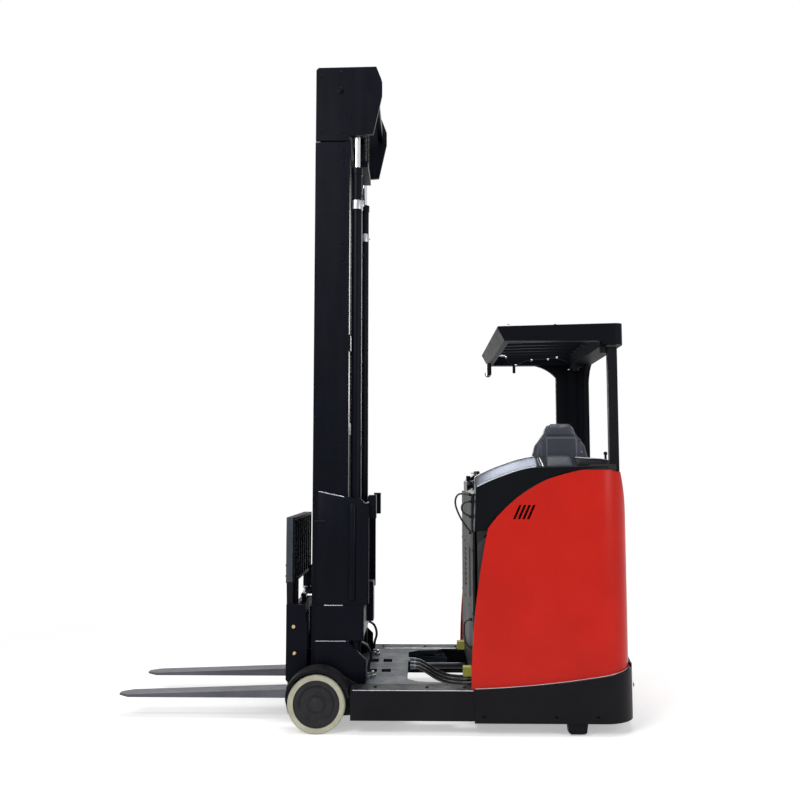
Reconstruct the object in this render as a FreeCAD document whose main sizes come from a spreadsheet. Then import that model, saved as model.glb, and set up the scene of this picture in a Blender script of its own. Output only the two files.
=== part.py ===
import FreeCAD, Part
import Sketcher
import math
import os

# Reach truck, millimetres.  Forks point to -X, the rear bumper to +X,
# the mast stands up along +Z and the floor is Z = 0.
os.makedirs("parts", exist_ok=True)
doc = FreeCAD.newDocument("reach_truck")
V = FreeCAD.Vector

SIZES = [
    # straddle legs and load wheels
    ("half_width", 635), ("leg_depth", 140), ("leg_bottom", 75), ("leg_top", 232),
    ("leg_web", 18), ("leg_flange", 16), ("leg_front", -110), ("leg_rear", 1000),
    ("load_x", -292), ("load_r", 155), ("load_rim_r", 125), ("load_inset", 5),
    ("load_width", 105), ("load_axle_r", 25), ("fender_in", 167), ("fender_out", 183),
    ("bracket", 20), ("fit", 0.05), ("seat", 0.3), ("running_gap", 6),
    # chassis
    ("skirt_front", 550), ("skirt_low", 65), ("skirt_step", 5), ("bumper_rear", 1456),
    ("bumper_corner", 1420),
    ("bumper_r", 185), ("bumper_top", 350), ("block_front", 1330), ("skirt_wall", 40),
    ("under_low", 245), ("plate", 12), ("front_face", 550), ("panel_step", 52),
    ("under_step", 92), ("pan_rear", 720), ("tray_rear", 856),
    ("floor_low", 488), ("frame_rail", 24), ("back_wall", 1378),
    ("sweep_front_z", 236), ("sweep_mid_x", 973), ("sweep_mid_z", 268), ("sweep_rear_z", 334),
    ("battery_gap", 14), ("battery_step", 25), ("battery_back", 6), ("battery_top", 1035),
    ("skid_x", 1041), ("skid_len", 108), ("skid_low", 8), ("skid_step", 20), ("skid_w", 50),
    ("bump_x", 503), ("bump_low", 254), ("bump_high", 304), ("bump_y", 375), ("bump_w", 60),
    # body panels
    ("shell_step", 13), ("shell_wall", 10), ("shell_rear", 1402), ("shell_r", 170),
    ("shell_bend_z", 1050), ("shell_tip_x", 1357), ("shell_tip_z", 1400), ("rear_split", 440),
    ("edge_x0", 535), ("edge_x1", 562), ("edge_z1", 675), ("edge_x2", 630), ("edge_z2", 1085),
    ("hip_x1", 747), ("hip_z1", 1214), ("hip_x2", 951), ("hip_z2", 1347), ("hip_x3", 1082),
    ("hip_z3", 1387), ("hip_x4", 1284), ("hip_z4", 1412), ("hip_x5", 1338), ("hip_z5", 1389),
    ("entry_front", 905), ("entry_rear", 1172), ("entry_low", 500), ("sill_top", 1176),
    ("vent_x", 764), ("vent_low", 1134), ("vent_h", 77), ("vent_w", 14), ("vent_lean", 35),
    ("vent_pitch", 25),
    ("cover_front", 545), ("cover_low", 1066), ("cover_step", 17), ("cover_w", 150),
    ("cover_rear", 1300), ("cover_wall", 9), ("cab_wall", 7),
    ("console_top", 1290), ("console_rear", 868), ("console_gap", 1),
    ("hood_rear", 1330), ("hood_w", 544), ("hood_top", 985),
    # drive
    ("drive_x", 1095), ("drive_y", -150), ("drive_r", 171.5), ("drive_w", 130),
    ("drive_rim_r", 130), ("turn_r", 158), ("turn_low", 455), ("motor_r", 105),
    ("motor_high", 260), ("gear_w", 70),
    # seat
    ("seat_x0", 872), ("seat_x1", 1236), ("seat_gap", 2), ("seat_len", 478),
    ("seat_low", 1000), ("seat_high", 1092), ("back_gap", 0.5), ("back_t", 95.5),
    ("back_top", 1677), ("back_shoulder", 1569), ("back_waist", 1484), ("back_low", 1060),
    ("wheel_cx", 704), ("wheel_cy", 40), ("wheel_rise", 32), ("arm_step", 56),
    ("pedal_step", 184), ("pedal_w", 70),
    ("pedal_x", 985), ("pedal_pitch", 95), ("pad_low", 1190), ("lever_low", 1240),
    ("lever_pitch", 35), ("lever_r", 7), ("lever_h", 62), ("wheel_big_r", 140),
    # overhead guard
    ("roof_top", 2212), ("roof_drop", 17), ("roof_edge", 6), ("roof_lean", 40),
    ("roof_low", 2113), ("roof_front", 693),
    ("roof_rear", 1393), ("roof_r", 55),
    ("roof_half", 580), ("beam_w", 60), ("post_x", 1309), ("post_len", 52), ("post_step", 82),
    ("post_w", 40), ("hook_x", 722), ("hook_low", 2035), ("hook_w", 24), ("foot_gap", 9),
    ("bar_w", 26), ("bar_step", 130), ("bar_h", 22), ("roof_seat", 27), ("rear_beam_w", 116),
    ("col_front", 1195), ("col_step", 42), ("col_rear", 1384), ("col_t", 32), ("col_in", 380),
    # mast rails: x from front to rear, y given from the centre outwards
    ("mast_front", -347), ("mast_rear", -145), ("wing_gap", 10), ("mast_lip_w", 75),
    ("mast_web", 16), ("mast_flange", 18), ("mast_low", 95), ("mast_high", 3325),
    ("mid_depth", 154), ("mid_step", 22), ("mid_lip_w", 73), ("mid_web", 14),
    ("mid_flange", 16), ("mid_low", 110), ("mid_high", 3770),
    ("inn_depth", 110), ("inn_step", 20), ("inn_lip_w", 73), ("inn_web", 12),
    ("inn_flange", 14), ("inn_low", 125), ("inn_high", 3700), ("pad_h", 110),
    ("head_t", 20), ("head_low", 3335), ("head_high", 3780),
    ("lift_x", -104), ("lift_step", 40), ("lift_r", 30), ("lift_rod_r", 18), ("lift_high", 3175),
    ("lift_bore", 22), ("free_r", 38), ("free_rod_r", 22), ("free_low", 200), ("free_high", 1900),
    ("free_bore", 27), ("cross_z", 1960), ("pulley_r", 34), ("pulley_y", 82),
    ("head_pulley_r", 55), ("head_pulley_x", -122), ("head_pulley_y", 150),
    ("head_pulley_z", 3640), ("chain_t", 9), ("chain_w", 20),
    # reach carriage
    ("deck_low", 205), ("deck_rear", 191), ("wing_rear", 440),
    ("hose_bar", 12), ("hose_end", 690), ("hose_y", 160), ("hose_pitch", 40), ("hose_z", 206),
    ("hose_rise", 13), ("hose_r", 11), ("cable_step", 20), ("cable_r", 5), ("cable_bend", 20),
    ("cable_high", 1262), ("cable_low", 1124), ("cable_out", 463), ("lead_high", 574),
    ("lead_low", 418), ("lead_out", 508), ("pipe_in", 46), ("pipe_pitch", 24), ("pipe_r", 8),
    ("pipe_low", 620), ("pipe_len", 2600), ("clip_h", 50), ("clip_edge", 10),
    ("knob_in", 20), ("knob_w", 70), ("knob_low", 1124), ("knob_high", 1257), ("knob_out", 37),
    ("wing_low", 112), ("wing_w", 63), ("roller_front", -100), ("roller_rear", 372),
    ("cradle_t", 16), ("cradle_front", -320), ("cradle_rear", -25), ("cradle_cut", 346),
    ("cradle_notch", 449), ("cradle_waist", 647), ("cradle_top", 1190), ("cradle_tip", 1282),
    ("cross_low", 1130), ("cross_high", 1210), ("tie_low", 470), ("tie_high", 620),
    ("bracket_low", 500), ("bracket_high", 732), ("bracket_half", 60),
    ("slot_near", 120), ("slot_near_w", 78), ("slot_far", 71), ("slot_far_w", 87),
    ("slot_x0", -40), ("slot_len0", 50), ("slot_x1", 38), ("slot_len1", 54),
    ("reach_step", 96),
    ("reach_z", 158), ("reach_r", 34), ("reach_rod_r", 18), ("reach_bore", 25),
    ("reach_front", 632), ("reach_gap", 38), ("reach_eye", 90),
    # fork carriage
    ("fork_face", -490), ("fork_t", 38), ("fork_y", 270), ("fork_w", 120), ("fork_tip", -1458),
    ("fork_low", 115), ("fork_top", 622), ("fork_tip_t", 14), ("bar_t", 26),
    ("plate_low", 200), ("plate_high", 646), ("tilt_x", -392),
    ("tilt_z", 262), ("tilt_pin", 12), ("lift_lip", 5), ("ear_in", 25), ("ear_w", 18),
    ("lift_plate_step", 10), ("tilt_cyl_step", 70), ("tilt_cyl_z", 672), ("tilt_cyl_r", 19),
    ("tilt_bore", 14), ("tilt_rod_r", 9), ("tilt_eye_x", -412), ("tilt_barrel_x", -366),
    ("tilt_cyl_len", 104), ("rest_low", 763), ("rest_high", 1131), ("rest_front", -495),
    ("rest_rear", -447), ("rest_step", 8),
]


class Size:
    """A number together with the expression that yields it."""

    def __init__(self, value, text):
        self.value = value
        self.text = text

    def __add__(self, other):
        other = size(other)
        return Size(self.value + other.value, f"({self.text} + {other.text})")

    def __sub__(self, other):
        other = size(other)
        return Size(self.value - other.value, f"({self.text} - {other.text})")

    def __mul__(self, other):
        other = size(other)
        return Size(self.value * other.value, f"({self.text} * {other.text})")

    def __truediv__(self, other):
        other = size(other)
        return Size(self.value / other.value, f"({self.text} / {other.text})")

    def __neg__(self):
        return Size(-self.value, f"(-1 * {self.text})")

    def __radd__(self, other):
        return size(other) + self

    def __rsub__(self, other):
        return size(other) - self

    def __rmul__(self, other):
        return size(other) * self


def size(number):
    if isinstance(number, Size):
        return number
    return Size(float(number), f"({float(number):.6f})")


class Named:
    pass


s = Named()
for row, (alias, number) in enumerate(SIZES, start=1):
    sheet_row = f"B{row}"
    if row == 1:
        sheet = doc.addObject("Spreadsheet::Sheet", "Sizes")
    sheet.set(f"A{row}", alias)
    sheet.set(sheet_row, str(number))
    sheet.setAlias(sheet_row, alias)
    setattr(s, alias, Size(float(number), f"Sizes.{alias}"))
doc.recompute()

# places that follow from the sizes above
s.leg_inner = s.half_width - s.leg_depth
s.load_outer = s.half_width - s.load_inset
s.skirt_out = s.half_width + s.skirt_step
s.shell_out = s.half_width - s.shell_step
s.frame_half = s.shell_out - s.shell_wall
s.frame_side = s.frame_half - s.frame_rail
s.battery_half = s.frame_half - s.battery_gap
s.battery_front = s.front_face + s.battery_step
s.battery_rear = s.tray_rear - s.battery_back
s.cover_out = s.shell_out - s.cover_step
s.post_out = s.shell_out - s.post_step
s.col_out = s.shell_out - s.col_step
s.reach_end = s.block_front - s.reach_gap
s.deck_half = s.leg_inner - s.running_gap
s.wing_in = s.deck_half - s.wing_w
s.hose_edge = s.deck_rear + s.hose_bar
s.under_rear = s.leg_rear - s.under_step
s.skid_out = s.half_width - s.skid_step
s.cover_in = s.cover_out - s.cover_w
s.console_far = s.cover_out - s.console_gap
s.wheel_cz = s.console_top + s.wheel_rise
s.panel_half = s.frame_half - s.panel_step
s.mast_half = s.wing_in - s.wing_gap - s.cradle_t
s.mast_lip = s.mast_half - s.mast_lip_w
s.mid_half = s.mast_half - s.mid_step
s.mid_lip = s.mid_half - s.mid_lip_w
s.inn_half = s.mid_half - s.inn_step
s.inn_lip = s.inn_half - s.inn_lip_w
s.lift_y = s.mast_half - s.lift_step
s.lift_half = s.inn_lip + s.lift_lip
s.lift_plate_y = s.inn_lip - s.lift_plate_step
s.tilt_half = s.inn_lip
s.tilt_cyl_y = s.tilt_half - s.tilt_cyl_step
s.hood_near = s.cab_wall - s.cover_in
s.hood_far = s.hood_near + s.hood_w
s.back_y0 = s.hood_near + s.back_gap
s.back_y1 = s.back_y0 + s.back_t
s.seat_y0 = s.back_y1 + s.seat_gap
s.seat_y1 = s.seat_y0 + s.seat_len
s.arm_front = s.hood_far - s.arm_step
s.pedal_y = s.console_far - s.pedal_step
s.plate_half = s.mast_half
s.rest_half = s.mast_half - s.rest_step
s.reach_y = s.wing_in - s.reach_step
s.cable_y = s.cover_in - s.cable_step


def bind(thing, prop, number):
    thing.setExpression(prop, size(number).text)


def place(thing, x, y, z):
    x, y, z = size(x), size(y), size(z)
    thing.Placement.Base = V(x.value, y.value, z.value)
    for name, number in (("x", x), ("y", y), ("z", z)):
        bind(thing, f"Placement.Base.{name}", number)


def box(x0, x1, y0, y1, z0, z1, label="block"):
    thing = doc.addObject("Part::Box", "Block")
    thing.Label = label
    place(thing, x0, y0, z0)
    bind(thing, "Length", size(x1) - x0)
    bind(thing, "Width", size(y1) - y0)
    bind(thing, "Height", size(z1) - z0)
    return thing


TURNS = {
    "x": FreeCAD.Rotation(V(0, 1, 0), 90),
    "y": FreeCAD.Rotation(V(1, 0, 0), -90),
    "z": FreeCAD.Rotation(),
}


def rod(axis, x, y, z, r, length, label="rod"):
    """A cylinder that starts at x, y, z and runs along +axis."""
    thing = doc.addObject("Part::Cylinder", "Rod")
    thing.Label = label
    thing.Placement = FreeCAD.Placement(V(0, 0, 0), TURNS[axis])
    place(thing, x, y, z)
    bind(thing, "Radius", r)
    bind(thing, "Height", length)
    return thing


def draw(sketch, points):
    """Closed outline.  A third entry marks a point an arc passes through."""
    corners = []
    for point in points:
        if len(point) == 3:
            corners[-1][1] = (size(point[0]), size(point[1]))
        else:
            corners.append([(size(point[0]), size(point[1])), None])
    ends = []
    for index, (start, bow) in enumerate(corners):
        a = V(start[0].value, start[1].value, 0)
        nxt = corners[(index + 1) % len(corners)][0]
        b = V(nxt[0].value, nxt[1].value, 0)
        if bow is None:
            sketch.addGeometry(Part.LineSegment(a, b), False)
            ends.append((index, 1, 2))
        else:
            circle = Part.Arc(a, V(bow[0].value, bow[1].value, 0), b).toShape().Curve
            ahead = circle.Axis.z > 0
            first, last = (a, b) if ahead else (b, a)
            middle = circle.Center
            low = math.atan2(first.y - middle.y, first.x - middle.x)
            high = math.atan2(last.y - middle.y, last.x - middle.x)
            sketch.addGeometry(Part.ArcOfCircle(
                Part.Circle(middle, V(0, 0, 1), circle.Radius),
                low, high if high > low else high + 2 * math.pi), False)
            ends.append((index, 1, 2) if ahead else (index, 2, 1))
    for index, (edge, first, last) in enumerate(ends):
        nxt = ends[(index + 1) % len(ends)]
        sketch.addConstraint(Sketcher.Constraint("Coincident", edge, last, nxt[0], nxt[1]))
        pin(sketch, edge, first, corners[index][0])
    for index, (start, bow) in enumerate(corners):
        if bow is not None:
            pin_centre(sketch, index, start, bow, corners[(index + 1) % len(corners)][0])


def pin_centre(sketch, edge, a, m, b):
    """Fix the centre of the arc from a through m to b, along its steadier direction."""
    mx, my, bx, by = m[0] - a[0], m[1] - a[1], b[0] - a[0], b[1] - a[1]
    twice = (mx * by - my * bx) * 2
    long_m, long_b = mx * mx + my * my, bx * bx + by * by
    x = (by * long_m - my * long_b) / twice
    y = (mx * long_b - bx * long_m) / twice
    if abs(x.value - bx.value / 2) > abs(y.value - by.value / 2):
        kind, number = "DistanceX", x + a[0]
    else:
        kind, number = "DistanceY", y + a[1]
    where = sketch.addConstraint(Sketcher.Constraint(kind, -1, 1, edge, 3, number.value))
    sketch.renameConstraint(where, f"c{edge}")
    sketch.setExpression(f"Constraints.c{edge}", number.text)


def pin(sketch, edge, end, spot):
    for kind, number in (("DistanceX", spot[0]), ("DistanceY", spot[1])):
        where = sketch.addConstraint(
            Sketcher.Constraint(kind, -1, 1, edge, end, number.value))
        name = f"{kind[-1].lower()}{edge}_{end}"
        sketch.renameConstraint(where, name)
        sketch.setExpression(f"Constraints.{name}", number.text)


def outline(body, plane, points):
    sketch = body.newObject("Sketcher::SketchObject", "Outline")
    base = [f for f in body.Origin.OriginFeatures if f.Role == plane][0]
    sketch.AttachmentSupport = (base, "")
    sketch.MapMode = "FlatFace"
    draw(sketch, points)
    return sketch


def prism(plane, points, low, high, label="prism"):
    """Outline in plane xy, xz or yz, carried from low to high along the third axis."""
    low, high = size(low), size(high)
    body = doc.addObject("PartDesign::Body", "Body")
    body.Label = label
    sketch = outline(body, plane.upper() + "_Plane", points)
    start = -high if plane == "xz" else low
    sketch.AttachmentOffset = FreeCAD.Placement(V(0, 0, start.value), FreeCAD.Rotation())
    bind(sketch, "AttachmentOffset.Base.z", start)
    pad = body.newObject("PartDesign::Pad", "Pad")
    pad.Profile = sketch
    pad.Length = (high - low).value
    bind(pad, "Length", high - low)
    return body


def turned(axis, x, y, z, points, label="turned"):
    """Outline of radius and height turned about +axis through x, y, z."""
    body = doc.addObject("PartDesign::Body", "Body")
    body.Label = label
    sketch = outline(body, "XZ_Plane", points)
    spin = body.newObject("PartDesign::Revolution", "Turn")
    spin.Profile = sketch
    spin.ReferenceAxis = (sketch, ["V_Axis"])
    spin.Angle = 360
    body.Placement = FreeCAD.Placement(V(0, 0, 0), TURNS[axis])
    place(body, x, y, z)
    return body


def fuse(parts, label="fused"):
    thing = doc.addObject("Part::MultiFuse", "Fused")
    thing.Label = label
    thing.Shapes = parts
    return thing


def cut(base, tools, label="cut"):
    tool = tools[0] if len(tools) == 1 else fuse(tools)
    thing = doc.addObject("Part::Cut", "Cut")
    thing.Label = label
    thing.Base = base
    thing.Tool = tool
    return thing


def common(first, second, label="common"):
    thing = doc.addObject("Part::Common", "Common")
    thing.Label = label
    thing.Base = first
    thing.Tool = second
    return thing


def group(parts, label):
    thing = doc.addObject("Part::Compound", "Group")
    thing.Label = label
    thing.Links = parts
    return thing


def flip(source, label="flipped"):
    """Mirror copy across the centre plane Y = 0."""
    thing = doc.addObject("Part::Mirroring", "Flip")
    thing.Label = label
    thing.Source = source
    thing.Normal = V(0, 1, 0)
    thing.Base = V(0, 0, 0)
    return thing


def both(source, label="pair"):
    return group([source, flip(source)], label)


def tube(plane, offset, corners, r, bend_r, label):
    """Round bar in plane xy or xz whose runs follow the axes, with a bend at each corner."""
    base = FreeCAD.Rotation() if plane == "xy" else FreeCAD.Rotation(V(1, 0, 0), 90)
    spots = [(size(x), size(y)) for x, y in corners]
    steps = []
    for (x0, y0), (x1, y1) in zip(spots, spots[1:]):
        along = V(x1.value - x0.value, y1.value - y0.value, 0)
        along.normalize()
        steps.append((round(along.x), round(along.y)))

    def put(thing, turn, x, y):
        thing.Placement = FreeCAD.Placement(V(0, 0, 0), base.multiply(turn))
        place(thing, *((x, y, offset) if plane == "xy" else (x, offset, y)))

    parts = []
    last = len(steps) - 1
    for index, (dx, dy) in enumerate(steps):
        (x0, y0), (x1, y1) = spots[index], spots[index + 1]
        trim0 = size(bend_r) if index else size(0)
        trim1 = size(bend_r) if index < last else size(0)
        run = doc.addObject("Part::Cylinder", "Run")
        put(run, FreeCAD.Rotation(V(0, 0, 1), V(dx, dy, 0)), x0 + trim0 * dx, y0 + trim0 * dy)
        bind(run, "Radius", r)
        bind(run, "Height", (x1 - x0) * dx + (y1 - y0) * dy - trim0 - trim1)
        parts.append(run)
        if index < last:
            nx, ny = steps[index + 1]
            turns_left = dx * ny - dy * nx > 0
            start = math.degrees(math.atan2(-ny, -nx) if turns_left else math.atan2(dy, dx))
            ring = doc.addObject("Part::Torus", "Bend")
            put(ring, FreeCAD.Rotation(V(0, 0, 1), start),
                x1 + size(bend_r) * (nx - dx), y1 + size(bend_r) * (ny - dy))
            bind(ring, "Radius1", bend_r)
            bind(ring, "Radius2", r)
            ring.Angle3 = 90
            parts.append(ring)
    return fuse(parts, label)


def bent(y, route, r):
    """Hose in an XZ plane: straight runs joined by arcs as large as the runs allow."""
    spots = [V(size(x).value, size(z).value, 0) for x, z in route]
    flat = FreeCAD.Rotation(V(1, 0, 0), 90)
    parts = []

    def put(thing, turn, spot):
        thing.Placement = FreeCAD.Placement(V(0, 0, 0), flat.multiply(turn))
        place(thing, spot.x, y, spot.y)
        parts.append(thing)

    start = spots[0]
    for index in range(1, len(spots)):
        before = spots[index] - spots[index - 1]
        ahead = spots[index + 1] - spots[index] if index < len(spots) - 1 else V(0, 0, 0)
        turn = before.getAngle(ahead) if ahead.Length else 0.0
        trim = 0.45 * min(before.Length, ahead.Length) if turn else 0.0
        along = V(before).normalize()
        stop = spots[index] - along * trim
        run = doc.addObject("Part::Cylinder", "Run")
        put(run, FreeCAD.Rotation(V(0, 0, 1), along), start)
        bind(run, "Radius", r)
        run.Height = (stop - start).Length
        if turn:
            onward = V(ahead).normalize()
            radius = trim / math.tan(turn / 2)
            left = before.cross(ahead).z > 0
            inward = V(-along.y, along.x, 0) * (1 if left else -1)
            centre = stop + inward * radius
            start = spots[index] + onward * trim
            first = (stop if left else start) - centre
            ring = doc.addObject("Part::Torus", "Bend")
            put(ring, FreeCAD.Rotation(V(0, 0, 1), math.degrees(math.atan2(first.y, first.x))), centre)
            ring.Radius1 = radius
            bind(ring, "Radius2", r)
            ring.Angle3 = math.degrees(turn)
    return fuse(parts, "hose")


NODES = []


def node(name, thing):
    thing.Label = name
    NODES.append((name, thing))
    return thing


def polar(radius, angle, x=0.0, z=0.0):
    spread = math.radians(angle)
    return (size(x) + radius * math.cos(spread), size(z) + radius * math.sin(spread))


# ---------------------------------------------------------------- straddle legs
half, inner = s.half_width, s.leg_inner
fx, fz = s.load_x, s.load_r
channel = cut(
    box(s.leg_front, s.leg_rear, -half, -inner, s.leg_bottom, s.leg_top),
    [box(s.leg_front + s.leg_web, s.leg_rear + 5, s.leg_web - half, 5 - inner,
         s.leg_bottom + s.leg_flange, s.leg_top - s.leg_flange)])
fender = prism("xz", [
    polar(s.fender_in, 12, fx, fz),
    polar(s.fender_out, 12, fx, fz),
    polar(s.fender_out, 80, fx, fz) + (1,),
    polar(s.fender_out, 152, fx, fz),
    polar(s.fender_in, 152, fx, fz),
    polar(s.fender_in, 80, fx, fz) + (1,)],
    -half, -inner)
bracket = prism("xz", [
    (s.leg_front + 30, s.leg_bottom),
    (s.leg_front + 30, s.leg_top),
    polar(s.fender_out, 42, fx, fz),
    polar(s.fender_out, 95, fx, fz) + (1,),
    polar(s.fender_out, 182, fx, fz),
    polar(s.fender_out, 205, fx, fz),
    (fx - 60, s.leg_bottom - 12),
    (fx + 60, s.leg_bottom - 12)],
    -inner - s.bracket, -inner)
web = box(s.leg_front - 20, s.leg_front + 5, -half, -inner, s.leg_bottom, s.leg_top)
spacer = rod("y", fx, s.load_width - s.load_outer + s.seat, fz, 42,
             s.load_outer - s.load_width - s.seat - inner - s.bracket)
pin_bar = rod("y", fx, 24 - s.load_outer, fz, s.load_axle_r, s.load_outer - inner - 30)
leg_left = fuse([channel, fender, bracket, spacer, pin_bar])
node("straddle_leg_left", leg_left)
node("straddle_leg_right", flip(leg_left))

tyre = turned("y", fx, -s.load_outer, fz, [
    (s.load_rim_r, 4), (s.load_r - 6, 0), (s.load_r, 8),
    (s.load_r, s.load_width - 8), (s.load_r - 6, s.load_width),
    (s.load_rim_r, s.load_width - 4)])
node("load_tyre_left", tyre)
node("load_tyre_right", flip(tyre))
hub = turned("y", fx, -s.load_outer, fz, [
    (0, 10), (36, 10), (36, 20), (88, 20), (98, 10), (s.load_rim_r, 8),
    (s.load_rim_r, s.load_width - 6), (60, s.load_width - 6), (60, s.load_width),
    (s.load_axle_r + s.fit, s.load_width), (s.load_axle_r + s.fit, 23), (0, 23)])
node("load_hub_left", hub)
node("load_hub_right", flip(hub))

# ---------------------------------------------------------------- chassis
plan_x = s.bumper_corner - s.bumper_r
plan_y = s.skirt_out - s.bumper_r
bow = s.bumper_r * math.sqrt(0.5)
skirt_plan = prism("xy", [
    (s.skirt_front, -s.skirt_out), (plan_x, -s.skirt_out),
    (plan_x + bow, -plan_y - bow, 1), (s.bumper_corner, -plan_y), (s.bumper_rear, 0, 1),
    (s.bumper_corner, plan_y), (plan_x + bow, plan_y + bow, 1),
    (plan_x, s.skirt_out), (s.skirt_front, s.skirt_out)],
    s.skirt_low, s.bumper_top)
sweep_top = prism("xz", [
    (s.skirt_front - 20, s.sweep_front_z), (s.sweep_mid_x, s.sweep_mid_z, 1),
    (s.shell_rear + 4, s.sweep_rear_z), (s.shell_rear + 16, s.bumper_top + 20),
    (s.skirt_front - 20, s.bumper_top + 20)],
    -s.skirt_out - 10, s.skirt_out + 10)
skirt = cut(skirt_plan, [
    box(s.skirt_front - 10, s.leg_rear + 5, -half, half, s.skirt_low - 10, s.bumper_top + 30),
    box(s.leg_rear, s.block_front, s.skirt_wall - s.skirt_out, s.skirt_out - s.skirt_wall,
        s.skirt_low - 10, s.bumper_top + 30),
    sweep_top])
node("chassis_skirt", skirt)

under_high = s.under_low + s.plate
floor_high = s.floor_low + s.plate
frame_parts = [
    box(s.front_face + s.plate, s.under_rear, -s.frame_half, s.frame_half, s.under_low, under_high),
    box(s.front_face + s.plate, s.under_rear, -s.frame_half, -inner - 5, s.leg_top, s.under_low),
    box(s.front_face + s.plate, s.under_rear, inner + 5, s.frame_half, s.leg_top, s.under_low),
    box(s.tray_rear, s.tray_rear + s.plate, -s.frame_half, s.frame_half, under_high, s.battery_top),
    box(s.tray_rear, s.back_wall, -s.frame_half, -s.frame_side, s.sweep_rear_z + 8, floor_high),
    box(s.tray_rear, s.back_wall - 90, s.frame_side, s.frame_half, s.sweep_rear_z + 8, floor_high),
    box(s.leg_rear + 5, s.block_front, s.skirt_wall - s.skirt_out, 24 + s.skirt_wall - s.skirt_out,
        under_high - 80, floor_high),
    box(s.leg_rear + 5, s.block_front, s.skirt_out - s.skirt_wall - 24, s.skirt_out - s.skirt_wall,
        under_high - 80, floor_high),
    box(s.front_face + s.plate + s.seat, s.pan_rear, -s.frame_half, s.frame_half,
        s.leg_bottom - 9, s.leg_bottom),
    box(s.front_face + s.plate + s.seat, s.front_face + s.plate + 14, -400, -190,
        s.leg_bottom - 4, 190),
    box(s.block_front - 16, s.block_front, -s.rear_split, s.rear_split, 100, floor_high),
    box(s.block_front - 16, s.back_wall + 14, -s.rear_split, s.rear_split, s.floor_low, floor_high),
    box(s.back_wall - 14, s.back_wall, -s.rear_split, s.col_in - 8, s.bumper_top, 1150),
    box(s.back_wall - 14, s.back_wall + 14, -s.rear_split + 20, s.col_in - 40, 900, 940),
]
floor_plate = cut(
    box(s.tray_rear, s.block_front, -s.frame_side, s.frame_side, s.floor_low, floor_high),
    [rod("z", s.drive_x, s.drive_y, s.floor_low - 5, s.turn_r - 30, s.plate + 10)])
frame_round = prism("xy", [
    (s.front_face, -s.frame_half), (s.shell_rear - s.shell_r, -s.frame_half),
    (s.shell_rear - s.shell_r + (s.shell_r - s.shell_wall) * math.sqrt(0.5),
     -s.shell_out + s.shell_r - (s.shell_r - s.shell_wall) * math.sqrt(0.5), 1),
    (s.shell_rear - s.shell_wall, -s.shell_out + s.shell_r),
    (s.shell_rear - s.shell_wall, s.shell_out - s.shell_r),
    (s.shell_rear - s.shell_r + (s.shell_r - s.shell_wall) * math.sqrt(0.5),
     s.shell_out - s.shell_r + (s.shell_r - s.shell_wall) * math.sqrt(0.5), 1),
    (s.shell_rear - s.shell_r, s.frame_half), (s.front_face, s.frame_half)],
    60, 1500)
frame = common(fuse(frame_parts + [floor_plate]), frame_round)
node("chassis_frame", frame)
skids = prism("xz", [
    (s.skid_x, s.skirt_low), (s.skid_x + 6, s.skid_low + 8), (s.skid_x + 18, s.skid_low),
    (s.skid_x + s.skid_len - 18, s.skid_low), (s.skid_x + s.skid_len - 6, s.skid_low + 8),
    (s.skid_x + s.skid_len, s.skirt_low)],
    -s.skid_out - 10, s.skid_w - s.skid_out - 10)
node("anti_tip_skids", both(skids))
bumper = box(s.bump_x, s.front_face, s.bump_y - s.bump_w / 2, s.bump_y + s.bump_w / 2,
             s.bump_low, s.bump_high)
node("mast_bumpers", both(bumper))
node("front_panel", prism("yz", [
    (-s.panel_half, s.under_low), (-s.panel_half, s.cover_low - 8),
    (4 - s.cover_in, s.cover_low - 8), (4 - s.cover_in, s.console_top - 24),
    (s.panel_half, s.console_top - 24), (s.panel_half, s.under_low)],
    s.front_face, s.front_face + s.plate))
node("battery", box(s.battery_front, s.battery_rear, -s.battery_half, s.battery_half,
                    under_high, s.battery_top))


def shell_plan(out, rear, radius):
    x = rear - radius
    y = out - radius
    lean = radius * math.sqrt(0.5)
    return [(s.edge_x0 - 20, -out), (x, -out), (x + lean, -y - lean, 1), (rear, -y),
            (rear, y), (x + lean, y + lean, 1), (x, out), (s.edge_x0 - 20, out)]


def shell_lean(rear):
    return [(s.edge_x0 - 30, 150), (rear, 150), (rear, s.shell_bend_z),
            (rear - (s.shell_rear - s.shell_tip_x) * 0.36,
             s.shell_bend_z + (s.shell_tip_z - s.shell_bend_z) * 0.6, 1),
            (rear - s.shell_rear + s.shell_tip_x, s.shell_tip_z), (s.edge_x0 - 30, s.shell_tip_z)]


def shell(deep):
    out, rear, radius = s.shell_out - deep, s.shell_rear - deep, s.shell_r - deep
    high = s.shell_tip_z
    return common(prism("xy", shell_plan(out, rear, radius), 150 - deep / 2, high + deep),
                  prism("xz", shell_lean(rear), -out - 5, out + 5))


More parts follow.
